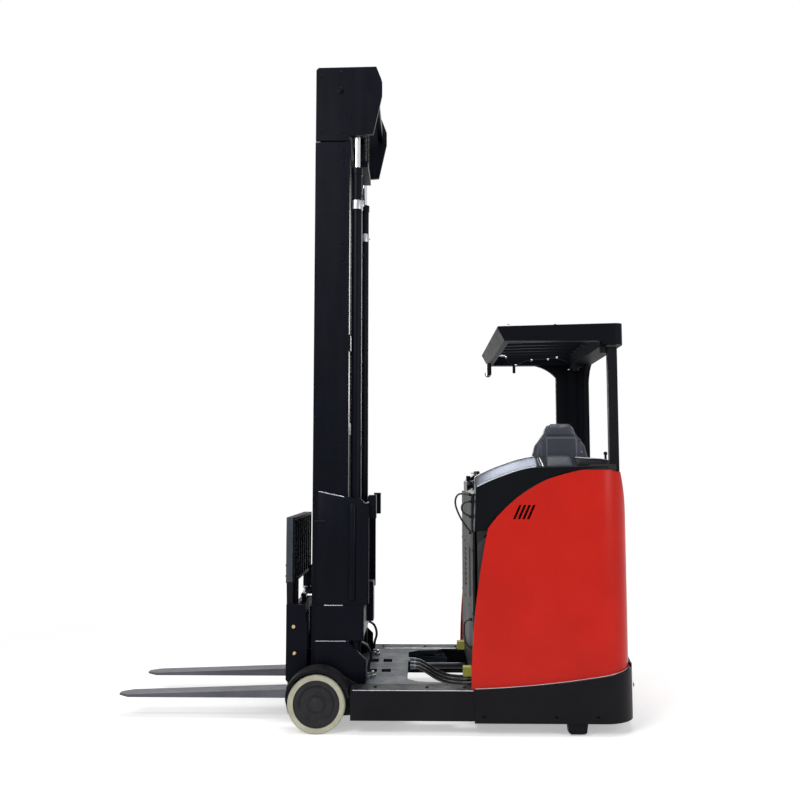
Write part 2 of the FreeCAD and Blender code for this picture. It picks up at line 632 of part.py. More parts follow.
body_shell = cut(shell(size(0)), [shell(s.shell_wall)])
hip_line = [
    (s.edge_x0, s.sweep_front_z), (s.edge_x1, s.edge_z1, 1), (s.edge_x2, s.edge_z2),
    (s.hip_x1, s.hip_z1, 1), (s.hip_x2, s.hip_z2), (s.hip_x3, s.hip_z3, 1),
    (s.hip_x4, s.hip_z4), (s.hip_x5, s.hip_z5)]
sweep_line = [(s.shell_rear + 4, s.sweep_rear_z), (s.sweep_mid_x, s.sweep_mid_z, 1)]
left_side = prism("xz", hip_line + [(s.shell_rear + 4, s.hip_z5)] + sweep_line,
                  -s.shell_out - 10, -s.rear_split)
right_side = prism("xz", hip_line[:3] + [
    (s.edge_x2 + 60, s.sill_top), (s.entry_front - 30, s.sill_top),
    (s.entry_front, s.sill_top - 40), (s.entry_front, s.entry_low + 40),
    (s.entry_front + 30, s.entry_low), (s.entry_rear - 20, s.entry_low),
    (s.entry_rear, s.entry_low + 30), (s.entry_rear, s.hip_z5 - 20),
    (s.entry_rear + 20, s.hip_z5), (s.shell_rear + 4, s.hip_z5)] + sweep_line,
    s.rear_split, s.shell_out + 10)
rear_door = prism("xz", [
    (s.shell_rear - 60, s.bumper_top + 6), (s.shell_rear - 60, s.hip_z5),
    (s.shell_rear + 4, s.hip_z5), (s.shell_rear + 4, s.bumper_top + 6)],
    4 - s.rear_split, s.rear_split - 4)
vents = []
for count in range(4):
    x = s.vent_x + s.vent_pitch * count
    vents.append(prism("xz", [
        (x, s.vent_low), (x + s.vent_w, s.vent_low),
        (x + s.vent_w + s.vent_lean, s.vent_low + s.vent_h), (x + s.vent_lean, s.vent_low + s.vent_h)],
        -s.shell_out - 5, s.shell_wall + 5 - s.shell_out))
node("side_panel_left", cut(common(body_shell, left_side), vents))
node("side_panel_right", common(body_shell, right_side))
node("rear_panel", common(body_shell, rear_door))


def cover_outline(points, deep):
    """Side view of the moulded cover under the given top line."""
    top = []
    for index, (x, z) in enumerate(points):
        x = s.cover_front + (x - 545)
        z = s.cover_low + (z - 1066) - deep
        if index == 0:
            x = x + deep
        if index == 4:
            x = x - deep
        top.append((x, z, 1) if index in (1, 3) else (x, z))
    side = s.edge_x2 + 4
    return top + [
        (s.hip_x4 - deep, s.hip_z4 + 2 - deep),
        (s.hip_x3, s.hip_z3 + 4 - deep, 1), (s.hip_x2, s.hip_z2 + 4 - deep),
        (s.hip_x1, s.hip_z1 + 6 - deep, 1), (side, s.edge_z2 - 10 - deep),
        (s.cover_front + 13 + deep, s.cover_low - deep)]


EDGE_LINE = [(545, 1288), (718, 1365), (880, 1411), (1060, 1416), (1296, 1417)]
SHOULDER_LINE = [(569, 1362), (718, 1428), (880, 1472), (1060, 1472), (1298, 1454)]


def cover_body(deep, y_out, y_in):
    """Side face up to the edge line, leaning in and up to the shoulder line."""
    top = prism("xz", cover_outline(SHOULDER_LINE, deep), y_out, y_in)
    sketch = doc.addObject("Sketcher::SketchObject", "Slice")
    sketch.Placement = FreeCAD.Placement(V(0, 0, 0), FreeCAD.Rotation(V(1, 0, 0), 90))
    place(sketch, 0, y_out, 0)
    low = cover_outline(EDGE_LINE, deep)
    draw(sketch, low[:5] + [
        (s.cover_rear + 20, low[4][1]), (s.cover_rear + 20, s.cover_low - 260),
        (s.cover_front - 60, s.cover_low - 260), (s.cover_front - 60, low[0][1])])
    lean = doc.addObject("Part::Extrusion", "Lean")
    lean.Base = sketch
    lean.DirMode = "Custom"
    lean.Dir = V(0.0, 0.68, 0.733)
    lean.LengthFwd = 260
    lean.Solid = True
    return common(top, lean)


cover = cut(cover_body(0.0, -s.cover_out, -s.cover_in),
            [cover_body(s.cover_wall, s.cover_wall - s.cover_out, -s.cover_in - s.cover_wall)])
node("side_cover_left", cover)

cab_wall = fuse([
    box(s.console_rear, s.hood_rear, -s.cover_in, s.cab_wall - s.cover_in, floor_high, s.hip_z2),
    box(s.console_rear, s.post_x - 12, 30 - s.frame_half, -s.cover_in,
        floor_high + 420, floor_high + 428),
])
console = cut(
    prism("xz", [
        (s.front_face + s.plate + s.seat, s.battery_top + 6),
        (s.front_face + s.plate + s.seat, s.console_top - 24),
        (s.front_face + s.plate + 24, s.console_top), (s.console_rear - 60, s.console_top),
        (s.console_rear, s.console_top - 60), (s.console_rear, s.battery_top + 6)],
        0.5 - s.cover_in, s.console_far),
    [prism("xz", [
        (s.front_face + s.plate + 8, s.battery_top), (s.front_face + s.plate + 8, s.console_top - 28),
        (s.front_face + s.plate + 28, s.console_top - 8), (s.console_rear - 62, s.console_top - 8),
        (s.console_rear - 10, s.console_top - 62), (s.console_rear - 10, s.battery_top)],
        8.5 - s.cover_in, s.console_far - 8)])
steering_post = rod("z", s.wheel_cx, s.wheel_cy, s.console_top - 4, 26,
                    s.wheel_cz - 22 - s.console_top)
pod = prism("xz", [
    (s.front_face + 16, s.console_top - 30), (s.front_face + 14, s.console_top + 36),
    (s.front_face + 46, s.console_top + 70), (s.front_face + 90, s.console_top + 92),
    (s.front_face + 116, s.console_top + 92), (s.front_face + 142, s.console_top - 30)],
    s.wheel_cy + s.wheel_big_r + 40, s.console_far - 8)
node("console_cover", fuse([console, steering_post, pod]))
hood = cut(
    box(s.console_rear, s.hood_rear, s.cab_wall - s.cover_in, s.hood_far, floor_high, s.hood_top),
    [box(s.console_rear + 8, s.hood_rear - 8, s.cab_wall - s.cover_in + 8, s.hood_far - 8,
         floor_high - 1, s.hood_top - 8)])
node("seat_hood", fuse([hood, cab_wall]))
cushion = prism("yz", [
    (s.seat_y0, s.seat_low), (s.seat_y0, s.seat_high - 10), (s.seat_y0 + 10, s.seat_high),
    (s.seat_y1 - 40, s.seat_high), (s.seat_y1, s.seat_high - 34), (s.seat_y1 - 10, s.seat_low)],
    s.seat_x0, s.seat_x1)
node("seat_cushion", cushion)
backrest = prism("xz", [
    (s.seat_x0 + 6, s.back_low), (s.seat_x0 + 6, s.back_waist),
    (s.seat_x0 + 55, s.back_shoulder), (s.seat_x0 + 104, s.back_top - 12),
    (s.seat_x0 + 120, s.back_top), (s.seat_x1 - 128, s.back_top),
    (s.seat_x1 - 112, s.back_top - 12), (s.seat_x1 - 66, s.back_shoulder),
    (s.seat_x1 - 4, s.back_waist), (s.seat_x1 - 4, s.back_low)],
    s.back_y0, s.back_y1)
node("seat_backrest", backrest)
node("seat_frame", fuse([
    box(s.seat_x0 + 30, s.seat_x1 - 30, s.seat_y0 + 20, s.seat_y1 - 60, s.hood_top, s.seat_low),
    box(s.seat_x0 + 60, s.seat_x1 - 60, s.back_y1, s.seat_y0, s.hood_top + 40, s.back_low + 60),
    box(s.seat_x0 + 60, s.seat_x1 - 60, s.back_y1, s.seat_y0 + 40, s.hood_top, s.seat_low)]))
arm_x = s.seat_x1 + 14
node("control_armrest", fuse([
    box(arm_x, s.hood_rear - 4, s.arm_front - 260, s.arm_front, s.hood_top, s.hood_top + 60),
    box(arm_x + 14, s.hood_rear - 18, s.arm_front - 240, s.arm_front - 160,
        s.hood_top + 60, s.hood_top + 230),
    prism("yz", [
        (s.arm_front - 280, s.pad_low), (s.arm_front - 290, s.pad_low + 50),
        (s.arm_front + 20, s.pad_low + 72), (s.arm_front + 110, s.pad_low + 54),
        (s.arm_front + 120, s.pad_low + 22), (s.arm_front + 20, s.pad_low + 6)],
        arm_x, s.hood_rear - 2)] + [
    rod("z", arm_x + out, s.arm_front + 50 + s.lever_pitch * step, s.lever_low - 4 * step,
        s.lever_r, s.lever_h)
    for out in (24, 52) for step in (0, 1)]))
pedal_parts = []
for count in (0, 1):
    pedal_low = s.pedal_x + s.pedal_pitch * count
    pedal_parts.append(prism("yz", [
        (s.pedal_y, floor_high), (s.pedal_y + 10, floor_high),
        (s.pedal_y + 85, floor_high + 100), (s.pedal_y + 77, floor_high + 106)],
        pedal_low, pedal_low + s.pedal_w))
node("pedals", group(pedal_parts, "pedals"))

# ---------------------------------------------------------------- steering wheel
big = s.wheel_big_r
wheel = fuse([
    turned("z", s.wheel_cx, s.wheel_cy, s.wheel_cz, [
        (big - 13, -8), (big, -13), (big + 13, -8), (big + 13, 8), (big, 13), (big - 13, 8)]),
    rod("z", s.wheel_cx, s.wheel_cy, s.wheel_cz - 25.7, 34, 30),
    box(s.wheel_cx - big + 5, s.wheel_cx + big - 5, s.wheel_cy - 14, s.wheel_cy + 14,
        s.wheel_cz - 9, s.wheel_cz - 1),
    box(s.wheel_cx - 14, s.wheel_cx + 14, s.wheel_cy, s.wheel_cy + big - 5,
        s.wheel_cz - 9, s.wheel_cz - 1),
    rod("z", s.wheel_cx - big, s.wheel_cy, s.wheel_cz, 8, 16),
    rod("z", s.wheel_cx - big, s.wheel_cy, s.wheel_cz + 14, 14, 30)])
node("steering_wheel", wheel)

# ---------------------------------------------------------------- drive unit
turn_top = s.floor_low
node("drive_motor", fuse([
    rod("z", s.drive_x, s.drive_y, floor_high, s.motor_r + 30, 26),
    rod("z", s.drive_x, s.drive_y, floor_high + 26, s.motor_r, s.motor_high)]))
gear_y = s.drive_y + s.drive_w / 2 + 14
node("drive_turntable", fuse([
    rod("z", s.drive_x, s.drive_y, s.turn_low, s.turn_r, turn_top - s.turn_low - s.seat),
    box(s.drive_x - 90, s.drive_x + 90, gear_y, gear_y + s.gear_w, s.drive_r - 60, s.turn_low + 2),
    rod("y", s.drive_x, gear_y, s.drive_r, 96, s.gear_w),
    rod("y", s.drive_x, gear_y - 44, s.drive_r, 30, 50),
    rod("z", s.drive_x, s.drive_y, s.drive_r * 2 + 20, 92, s.turn_low - s.drive_r * 2 - 18)]))
drive_low = s.drive_y - s.drive_w / 2
node("drive_tyre", turned("y", s.drive_x, drive_low, s.drive_r, [
    (s.drive_rim_r, 2), (s.drive_r - 8, 0), (s.drive_r, 10), (s.drive_r, s.drive_w - 10),
    (s.drive_r - 8, s.drive_w), (s.drive_rim_r, s.drive_w - 2)]))
node("drive_hub", turned("y", s.drive_x, drive_low, s.drive_r, [
    (0, 30), (60, 30), (70, 12), (s.drive_rim_r, 8), (s.drive_rim_r, s.drive_w - 8),
    (96, s.drive_w - 8), (96, s.drive_w - 30), (30 + s.fit, s.drive_w - 30),
    (30 + s.fit, s.drive_w - 42), (0, s.drive_w - 42)]))

# ---------------------------------------------------------------- overhead guard
roof, high = s.roof_half, s.roof_top
roof_plan = prism("xy", [
    (s.roof_front, -roof), (s.roof_rear - s.roof_r, -roof),
    (s.roof_rear - s.roof_r * 0.293, -roof + s.roof_r * 0.293, 1),
    (s.roof_rear, s.roof_r - roof), (s.roof_rear, roof - s.roof_r),
    (s.roof_rear - s.roof_r * 0.293, roof - s.roof_r * 0.293, 1),
    (s.roof_rear - s.roof_r, roof), (s.roof_front, roof)],
    s.roof_low - 20, high + 20)




def roof_side(rear, rear_top, y0, y1):
    """Side view of a roof beam whose top falls towards the front."""
    return prism("xz", [
        (s.roof_front + s.roof_lean, s.roof_low), (rear, s.roof_low), (rear, rear_top),
        (s.roof_front + s.roof_edge, high - s.roof_drop),
        (s.roof_front, high - s.roof_drop - s.roof_edge)], y0, y1)


beam = roof_side(s.roof_rear, high, -roof, s.beam_w - roof)
head_beam = roof_side(s.roof_front + s.roof_lean + s.beam_w / 2, high - s.roof_drop, -roof, roof)
rear_beam = prism("xz", [
    (s.roof_rear - s.rear_beam_w, s.roof_low - s.roof_seat), (s.roof_rear, s.roof_low - s.roof_seat),
    (s.roof_rear, high), (s.roof_rear - s.rear_beam_w, high - 3)], -roof, roof)
roof_parts = [beam, flip(beam), head_beam, rear_beam]
for count in range(-3, 4):
    roof_parts.append(prism("xz", [
        (s.roof_front + 20, high - s.roof_drop - 8 - s.bar_h), (s.roof_rear - 72, high - 10 - s.bar_h),
        (s.roof_rear - 72, high - 10), (s.roof_front + 20, high - s.roof_drop - 8)],
        s.bar_step * count - s.bar_w / 2, s.bar_step * count + s.bar_w / 2))
hook = prism("xz", [
    (s.hook_x, s.roof_low + 4), (s.hook_x - 4, s.roof_low - 40), (s.hook_x + 12, s.hook_low, 1),
    (s.hook_x + 26, s.hook_low + 6), (s.hook_x + 18, s.roof_low - 34), (s.hook_x + 24, s.roof_low + 4)],
    roof - s.beam_w + 8, roof - s.beam_w + 8 + s.hook_w)
node("overhead_guard", fuse([common(fuse(roof_parts), roof_plan), hook]))
foot_rear = s.shell_tip_x - s.shell_wall - s.foot_gap
shelf_z = s.hip_z5 + s.seat
node("guard_post_left", fuse([
    box(s.post_x, s.post_x + s.post_len, -s.post_out, s.post_w - s.post_out,
        shelf_z, s.roof_low - s.roof_seat),
    box(s.post_x, foot_rear, -s.post_out, s.post_w - s.post_out, floor_high, shelf_z),
    box(s.post_x - 4, foot_rear, -s.post_out, s.post_w - s.post_out + 16,
        floor_high, floor_high + 14)]))


def col_plan(rear, inner_rear):
    """Angled column that wraps the rear corner, seen from above."""
    return [
        (s.col_front, s.col_out), (rear - 90, s.col_out), (rear - 34, s.col_out - 34),
        (rear, s.col_out - 108), (rear, s.col_in), (inner_rear - s.col_t, s.col_in),
        (inner_rear - s.col_t, s.col_out - 124), (inner_rear - 60, s.col_out - 62),
        (inner_rear - 104, s.col_out - s.col_t), (s.col_front, s.col_out - s.col_t)]


col = fuse([
    prism("xy", col_plan(s.col_rear, s.col_rear), shelf_z, s.roof_low - s.roof_seat),
    prism("xy", col_plan(foot_rear, foot_rear), floor_high, shelf_z + 12),
    prism("xy", col_plan(s.col_rear, foot_rear), shelf_z, shelf_z + 12)])
rear_edge = s.roof_rear - s.rear_beam_w
arch_side = prism("xz", [
    (s.col_front - 1, s.roof_low - 125), (s.col_front + 12, s.roof_low - 96),
    (s.col_front - 54, s.roof_low - 35, 1), (s.col_front - 244, s.roof_low),
    (rear_edge, s.roof_low), (rear_edge, s.roof_low - 140),
    (s.col_front + 1, s.roof_low - 140)],
    s.col_out - s.col_t, s.col_out)
arch_rear = prism("yz", [
    (s.col_in, s.roof_low - 135), (s.col_in - 45, s.roof_low - 62, 1),
    (s.col_in - 200, s.roof_low - s.roof_seat), (s.col_in + 40, s.roof_low - s.roof_seat),
    (s.col_in + 40, s.roof_low - 135)],
    s.col_rear - s.col_t, s.col_rear)
node("guard_column_right", fuse([col, arch_side, arch_rear]))

# ---------------------------------------------------------------- mast
mast_mid = (s.mast_front + s.mast_rear) / 2


def rail(depth, out, lip, web, flange, low, high):
    """C rail open towards the centre, on the -Y side."""
    front, rear = mast_mid - depth / 2, mast_mid + depth / 2
    return prism("xy", [
        (front, -out), (rear, -out), (rear, -lip), (rear - flange, -lip),
        (rear - flange, web - out), (front + flange, web - out), (front + flange, -lip),
        (front, -lip)], low, high)


outer_depth = s.mast_rear - s.mast_front
outer = rail(outer_depth, s.mast_half, s.mast_lip, s.mast_web, s.mast_flange,
             s.mast_low, s.mast_high)
outer_parts = [outer, flip(outer)]
tie_x = s.mast_rear
for low, tall in ((470, 150), (1134, 110), (2090, 90), (s.mast_high - 96, 90)):
    outer_parts.append(box(tie_x, tie_x + 8, -s.mast_half, s.mast_half, low, size(low) + tall))
anchor_x = s.head_pulley_x + s.head_pulley_r
outer_parts.append(box(tie_x + 8, anchor_x + 16, -s.head_pulley_y - 22, s.head_pulley_y + 22,
                       s.mast_high - 70, s.mast_high - 30))
pad = s.running_gap - s.seat
for face, reach in ((s.mast_front + s.mast_flange, pad),
                    (s.mast_rear - s.mast_flange - pad, pad)):
    lead = box(face, face + reach, -s.mid_half + 4, -s.mast_lip - 4,
               s.mast_high - 20 - s.pad_h, s.mast_high - 20)
    outer_parts += [lead, flip(lead)]
node("outer_mast", fuse(outer_parts))

middle = rail(s.mid_depth, s.mid_half, s.mid_lip, s.mid_web, s.mid_flange, s.mid_low, s.mid_high)
mid_front = mast_mid - s.mid_depth / 2
mid_rear = mast_mid + s.mid_depth / 2
middle_parts = [middle, flip(middle)]
for face in (mid_front - pad, mid_rear):
    shoe = box(face, face + pad, 6 - s.mid_half, -s.mast_lip - 4,
               s.mid_low + 12, s.mid_low + 12 + s.pad_h)
    middle_parts += [shoe, flip(shoe)]
mid_tie = s.mid_lip + 13
for low in (s.mid_low + 20, s.mid_low + 1500, s.head_low + 60):
    middle_parts.append(box(mid_rear, mid_rear + 16, -mid_tie, mid_tie, low, low + 70))
node("middle_mast", fuse(middle_parts))

plate_in = s.mid_half
head = prism("xz", [
    (s.mast_front + 1, s.head_low), (s.mast_front + 1, s.head_high - 14),
    (s.mast_front + 15, s.head_high), (s.mast_front + 357, s.head_high + 5),
    (s.mast_front + 385, s.head_high - 67), (s.mast_front + 392, s.head_high - 90),
    (s.mast_front + 392, s.head_high - 171), (s.mast_front + 340, s.head_low + 39),
    (s.mast_front + 198, s.head_low + 29), (s.mast_front + 198, s.head_low)],
    -plate_in - s.head_t, -plate_in)
cap = box(s.lift_x - s.lift_r - 8, s.lift_x + s.lift_r + 8, -plate_in, -s.lift_y + 34,
          s.head_low + 42, s.head_low + 62)
head_parts = [head, flip(head), cap, flip(cap)]
axle_z = s.head_pulley_z
head_parts.append(rod("y", s.head_pulley_x, -plate_in, axle_z, 18, plate_in * 2))
head_parts.append(box(-14, 18, -plate_in, plate_in, s.head_high - 150, s.head_high - 90))
groove_r = s.head_pulley_r - s.chain_t / 2 - s.seat
pulley = turned("y", s.head_pulley_x, -s.head_pulley_y - 15, axle_z, [
    (0, 0), (s.head_pulley_r + 6, 0), (s.head_pulley_r + 6, 4), (groove_r, 4), (groove_r, 26),
    (s.head_pulley_r + 6, 26), (s.head_pulley_r + 6, 30), (0, 30)])
head_parts += [pulley, flip(pulley)]
node("mast_head", fuse(head_parts))

inner_rail = rail(s.inn_depth, s.inn_half, s.inn_lip, s.inn_web, s.inn_flange,
                  s.inn_low, s.inn_high)
inn_front = mast_mid - s.inn_depth / 2
inn_rear = mast_mid + s.inn_depth / 2
inner_parts = [inner_rail, flip(inner_rail)]
for face in (inn_front - pad, inn_rear):
    for low in (s.inn_low + 12, s.inn_low + 1400):
        shoe = box(face, face + pad, 6 - s.inn_half, -s.mid_lip - 4, low, low + s.pad_h)
        inner_parts += [shoe, flip(shoe)]
for low, tall in ((s.inn_low + 5, 150), (s.free_low + 1500, 100), (s.inn_high - 90, 90)):
    inner_parts.append(box(inn_rear - s.inn_flange, inn_rear, -s.inn_lip, s.inn_lip,
                           low, size(low) + tall))
inner_parts.append(box(mast_mid - 44, inn_rear - s.inn_flange, -70, 70,
                       s.free_low - 20, s.free_low))
inner_parts.append(box(inn_rear, inn_rear + 8, -s.head_pulley_y - 14, s.head_pulley_y + 14,
                       s.inn_low + 60, s.inn_low + 100))
node("inner_mast", fuse(inner_parts))

# ---------------------------------------------------------------- lift cylinders
barrel = turned("z", s.lift_x, -s.lift_y, s.leg_top, [
    (0, 0), (s.lift_r, 0), (s.lift_r, s.lift_high - s.leg_top - 40),
    (s.lift_r + 4, s.lift_high - s.leg_top - 38), (s.lift_r + 4, s.lift_high - s.leg_top),
    (s.lift_rod_r + s.fit, s.lift_high - s.leg_top),
    (s.lift_rod_r + s.fit, s.lift_high - s.leg_top - 60),
    (s.lift_bore, s.lift_high - s.leg_top - 60), (s.lift_bore, 30), (0, 30)])
node("lift_barrels", both(barrel))
plunger = turned("z", s.lift_x, -s.lift_y, s.leg_top + 30 + s.seat, [
    (0, 0), (s.lift_bore - 0.5, 0), (s.lift_bore - 0.5, 40), (s.lift_rod_r, 44),
    (s.lift_rod_r, s.head_low + 42 - s.leg_top - 30 - s.seat),
    (0, s.head_low + 42 - s.leg_top - 30 - s.seat)])
node("lift_rods", both(plunger))
free_len = s.free_high - s.free_low
node("free_lift_barrel", turned("z", mast_mid, 0, s.free_low, [
    (0, 0), (s.free_r, 0), (s.free_r, free_len), (s.free_rod_r + s.fit, free_len),
    (s.free_rod_r + s.fit, free_len - 60), (s.free_bore, free_len - 60), (s.free_bore, 30),
    (0, 30)]))
free_rod = turned("z", mast_mid, 0, s.free_low + 60, [
    (0, 0), (s.free_bore - 0.5, 0), (s.free_bore - 0.5, 40), (s.free_rod_r, 44),
    (s.free_rod_r, s.cross_z - s.free_low - 60), (0, s.cross_z - s.free_low - 60)])
cross_parts = [free_rod, box(mast_mid - 30, mast_mid + 30, -52, 52, s.cross_z, s.cross_z + 46),
               rod("y", mast_mid, -s.pulley_y - 22, s.cross_z + 23, 12, s.pulley_y * 2 + 44)]
node("free_lift_rod", fuse(cross_parts))
small = turned("y", mast_mid, -s.pulley_y - 14, s.cross_z + 23, [
    (12 + s.fit, 0), (s.pulley_r + 3, 0), (s.pulley_r + 3, 3),
    (s.pulley_r - s.chain_t / 2 - s.seat, 3), (s.pulley_r - s.chain_t / 2 - s.seat, 25),
    (s.pulley_r + 3, 25), (s.pulley_r + 3, 28), (12 + s.fit, 28)])
node("chain_pulleys_free", both(small))

# ---------------------------------------------------------------- chains
def chain(x, z, r, y, front_low, rear_low, label):
    """Chain over a pulley: a bow on top with a straight run on each side."""
    wide, tight = r + s.chain_t / 2, r - s.chain_t / 2
    y0, y1 = -y - s.chain_w / 2, s.chain_w / 2 - y
    bow = common(cut(rod("y", x, y0, z, wide, s.chain_w),
                     [rod("y", x, y0 - 1, z, tight, s.chain_w + 2)]),
                 box(x - wide - 1, x + wide + 1, y0, y1, z, z + wide + 1))
    band = fuse([bow, box(x - wide, x - tight, y0, y1, front_low, z),
                 box(x + tight, x + wide, y0, y1, rear_low, z)])
    return both(band, label)


node("mast_chains", chain(s.head_pulley_x, axle_z, s.head_pulley_r, s.head_pulley_y,
                          s.inn_low + 100, s.mast_high - 30, "mast_chains"))
anchor_z = s.free_low + 1500
node("carriage_chains", chain(mast_mid, s.cross_z + 23, s.pulley_r, s.pulley_y,
                              size(525), anchor_z + 60, "carriage_chains"))

# ---------------------------------------------------------------- lift carriage
side = prism("xz", [
    (-362, 236), (-300, 215), (-218, 215), (-212, 225), (-212, 630), (-218, 640),
    (-362, 640)],
    -s.lift_plate_y, 20 - s.lift_plate_y)
lift_parts = [side, flip(side)]
for low, tall in ((560, 80), (310, 60)):
    lift_parts.append(box(-362, -352, -s.lift_half, s.lift_half, low, low + tall))
    lift_parts.append(box(-352, -330, -s.lift_plate_y, s.lift_plate_y, low + 10, low + tall - 10))
roller_r = (s.inn_depth - 2 * s.inn_flange) / 2 - s.seat
for z in (268, 588):
    wheel_side = fuse([rod("y", mast_mid, -s.inn_half + s.inn_web + 2, z, roller_r, 46),
                       rod("y", mast_mid, -s.inn_half + s.inn_web + 40, z, 18, 60)])
    lift_parts += [wheel_side, flip(wheel_side)]
lug = fuse([
    box(-352, mast_mid - s.pulley_r + 10, -s.pulley_y - 14, 14 - s.pulley_y, 500, 525),
    box(-362, -330, -s.pulley_y - 14, 14 - s.pulley_y, 500, 575)])
lift_parts += [lug, flip(lug)]
ear = fuse([
    box(s.tilt_x - 20, -350, s.ear_in - s.lift_plate_y, s.ear_in + s.ear_w - s.lift_plate_y,
        s.tilt_z - 26, s.tilt_z + 110),
    rod("y", s.tilt_x, -s.tilt_half, s.tilt_z, s.tilt_pin, 45)])
lift_parts += [ear, flip(ear)]
tilt_barrel = turned("x", s.tilt_barrel_x, -s.tilt_cyl_y, s.tilt_cyl_z, [
    (s.tilt_rod_r + s.fit, 0), (s.tilt_cyl_r, 0), (s.tilt_cyl_r, s.tilt_cyl_len),
    (0, s.tilt_cyl_len), (0, s.tilt_cyl_len - 10), (s.tilt_bore, s.tilt_cyl_len - 10),
    (s.tilt_bore, 8), (s.tilt_rod_r + s.fit, 8)])
block_side = cut(
    box(-358, -330, -s.tilt_cyl_y - 30, 30 - s.tilt_cyl_y, 620, s.tilt_cyl_z + 28),
    [rod("x", -360, -s.tilt_cyl_y, s.tilt_cyl_z, s.tilt_cyl_r - 1, 40)])
hinge = fuse([tilt_barrel, block_side])
lift_parts += [hinge, flip(hinge)]
node("lift_carriage", fuse(lift_parts))

# ---------------------------------------------------------------- tilt frame and fork carriage
fork_back = s.fork_face + s.fork_t
bar_front = fork_back + s.seat
tilt_front = bar_front + s.bar_t + s.seat
tilt_side = cut(prism("xz", [
    (tilt_front, 222), (tilt_front, 640), (tilt_front + 22, 640), (tilt_front + 22, 330),
    (s.tilt_x + 26, s.tilt_z + 18), (s.tilt_x + 26, s.tilt_z - 18), (s.tilt_x + 8, 230),
    (tilt_front + 8, 222)],
    -s.tilt_half, 28 - s.tilt_half),
    [rod("y", s.tilt_x, -s.tilt_half - 2, s.tilt_z, s.tilt_pin + s.fit, 40)])
tilt_parts = [tilt_side, flip(tilt_side),
              box(tilt_front, tilt_front + 18, -s.tilt_half, s.tilt_half, 572, 632),
              box(tilt_front, tilt_front + 10, -s.tilt_half, s.tilt_half, 232, 290)]
for y in (-s.tilt_cyl_y - 22, 14 - s.tilt_cyl_y):
    prong = box(s.tilt_eye_x - 12, s.tilt_eye_x + 12, y, y + 8, 628, s.tilt_cyl_z + 14)
    tilt_parts += [prong, flip(prong)]
cross_pin = rod("y", s.tilt_eye_x, -s.tilt_cyl_y - 20, s.tilt_cyl_z, 7, 40)
tilt_parts += [cross_pin, flip(cross_pin)]
node("tilt_frame", fuse(tilt_parts))
rod_run = s.tilt_barrel_x + s.tilt_cyl_len - 45 - s.tilt_eye_x
tilt_rod = cut(fuse([
    rod("y", s.tilt_eye_x, -s.tilt_cyl_y - 11, s.tilt_cyl_z, 15, 22),
    rod("x", s.tilt_eye_x, -s.tilt_cyl_y, s.tilt_cyl_z, s.tilt_rod_r, rod_run),
    rod("x", s.tilt_eye_x + rod_run - 12, -s.tilt_cyl_y, s.tilt_cyl_z, s.tilt_bore - 0.4, 12)]),
    [rod("y", s.tilt_eye_x, -s.tilt_cyl_y - 20, s.tilt_cyl_z, 9.2, 40)])
node("tilt_rods", both(tilt_rod))
plate_side = prism("xz", [
    (s.fork_face, s.plate_low + 30), (s.fork_face, s.plate_high), (-386, s.plate_high),
    (-372, 500), (-372, s.plate_low + 20), (-392, s.plate_low), (s.fork_face + 30, s.plate_low)],
    -s.plate_half, 20 - s.plate_half)
holder_parts = [plate_side, flip(plate_side)]
for low, tall in ((560, 84), (216, 76)):
    holder_parts.append(box(bar_front, bar_front + s.bar_t, 18 - s.plate_half, s.plate_half - 18,
                            low, low + tall))
for y in (-140, 140):
    holder_parts.append(box(bar_front, bar_front + s.bar_t, y - 30, y + 30, 280, 570))
for z, x in ((524, -447), (378, -440)):
    bolt = rod("y", x, -s.plate_half - 9, z, 11, 10)
    holder_parts += [bolt, flip(bolt)]
node("fork_carriage", fuse(holder_parts))
rest_parts = [
    box(s.rest_front, s.rest_rear, -s.rest_half, s.rest_half, s.rest_high - 16, s.rest_high),
    box(s.rest_front, s.rest_rear, -s.rest_half, s.rest_half, s.rest_low, s.rest_low + 16)]
for count in range(-4, 5):
    y = size(count) * (s.rest_half - 8) / 4
    rest_parts.append(box(s.rest_front, s.rest_rear, y - 8, y + 8, s.rest_low, s.rest_high))
for sign in (-1, 1):
    y = size(sign) * (s.rest_half - 60)
    rest_parts.append(box(bar_front + 2, s.rest_rear + 14, y - 22, y + 22,
                          644, s.rest_low + 30))
    rest_parts.append(box(s.fork_face, s.rest_rear + 14, y - 8, y + 8, 646, s.rest_low))
node("load_backrest", fuse(rest_parts))

fork_side = prism("xz", [
    (s.fork_tip, s.fork_low + 3), (s.fork_tip, s.fork_low + s.fork_tip_t),
    (s.fork_face, s.fork_low + 48), (s.fork_face, s.fork_top), (fork_back, s.fork_top),
    (fork_back, s.fork_low + 16), (fork_back - 16, s.fork_low), (s.fork_tip + 60, s.fork_low)],
    -s.fork_y - s.fork_w / 2, s.fork_w / 2 - s.fork_y)
fork_plan = prism("xy", [
    (s.fork_tip, -s.fork_y - 22), (s.fork_tip + 60, -s.fork_y - s.fork_w / 2),
    (fork_back + 5, -s.fork_y - s.fork_w / 2), (fork_back + 5, s.fork_w / 2 - s.fork_y),
    (s.fork_tip + 60, s.fork_w / 2 - s.fork_y), (s.fork_tip, 22 - s.fork_y)],
    s.fork_low - 20, s.fork_top + 20)
fork = common(fork_side, fork_plan)
node("fork_left", fork)
node("fork_right", flip(fork))

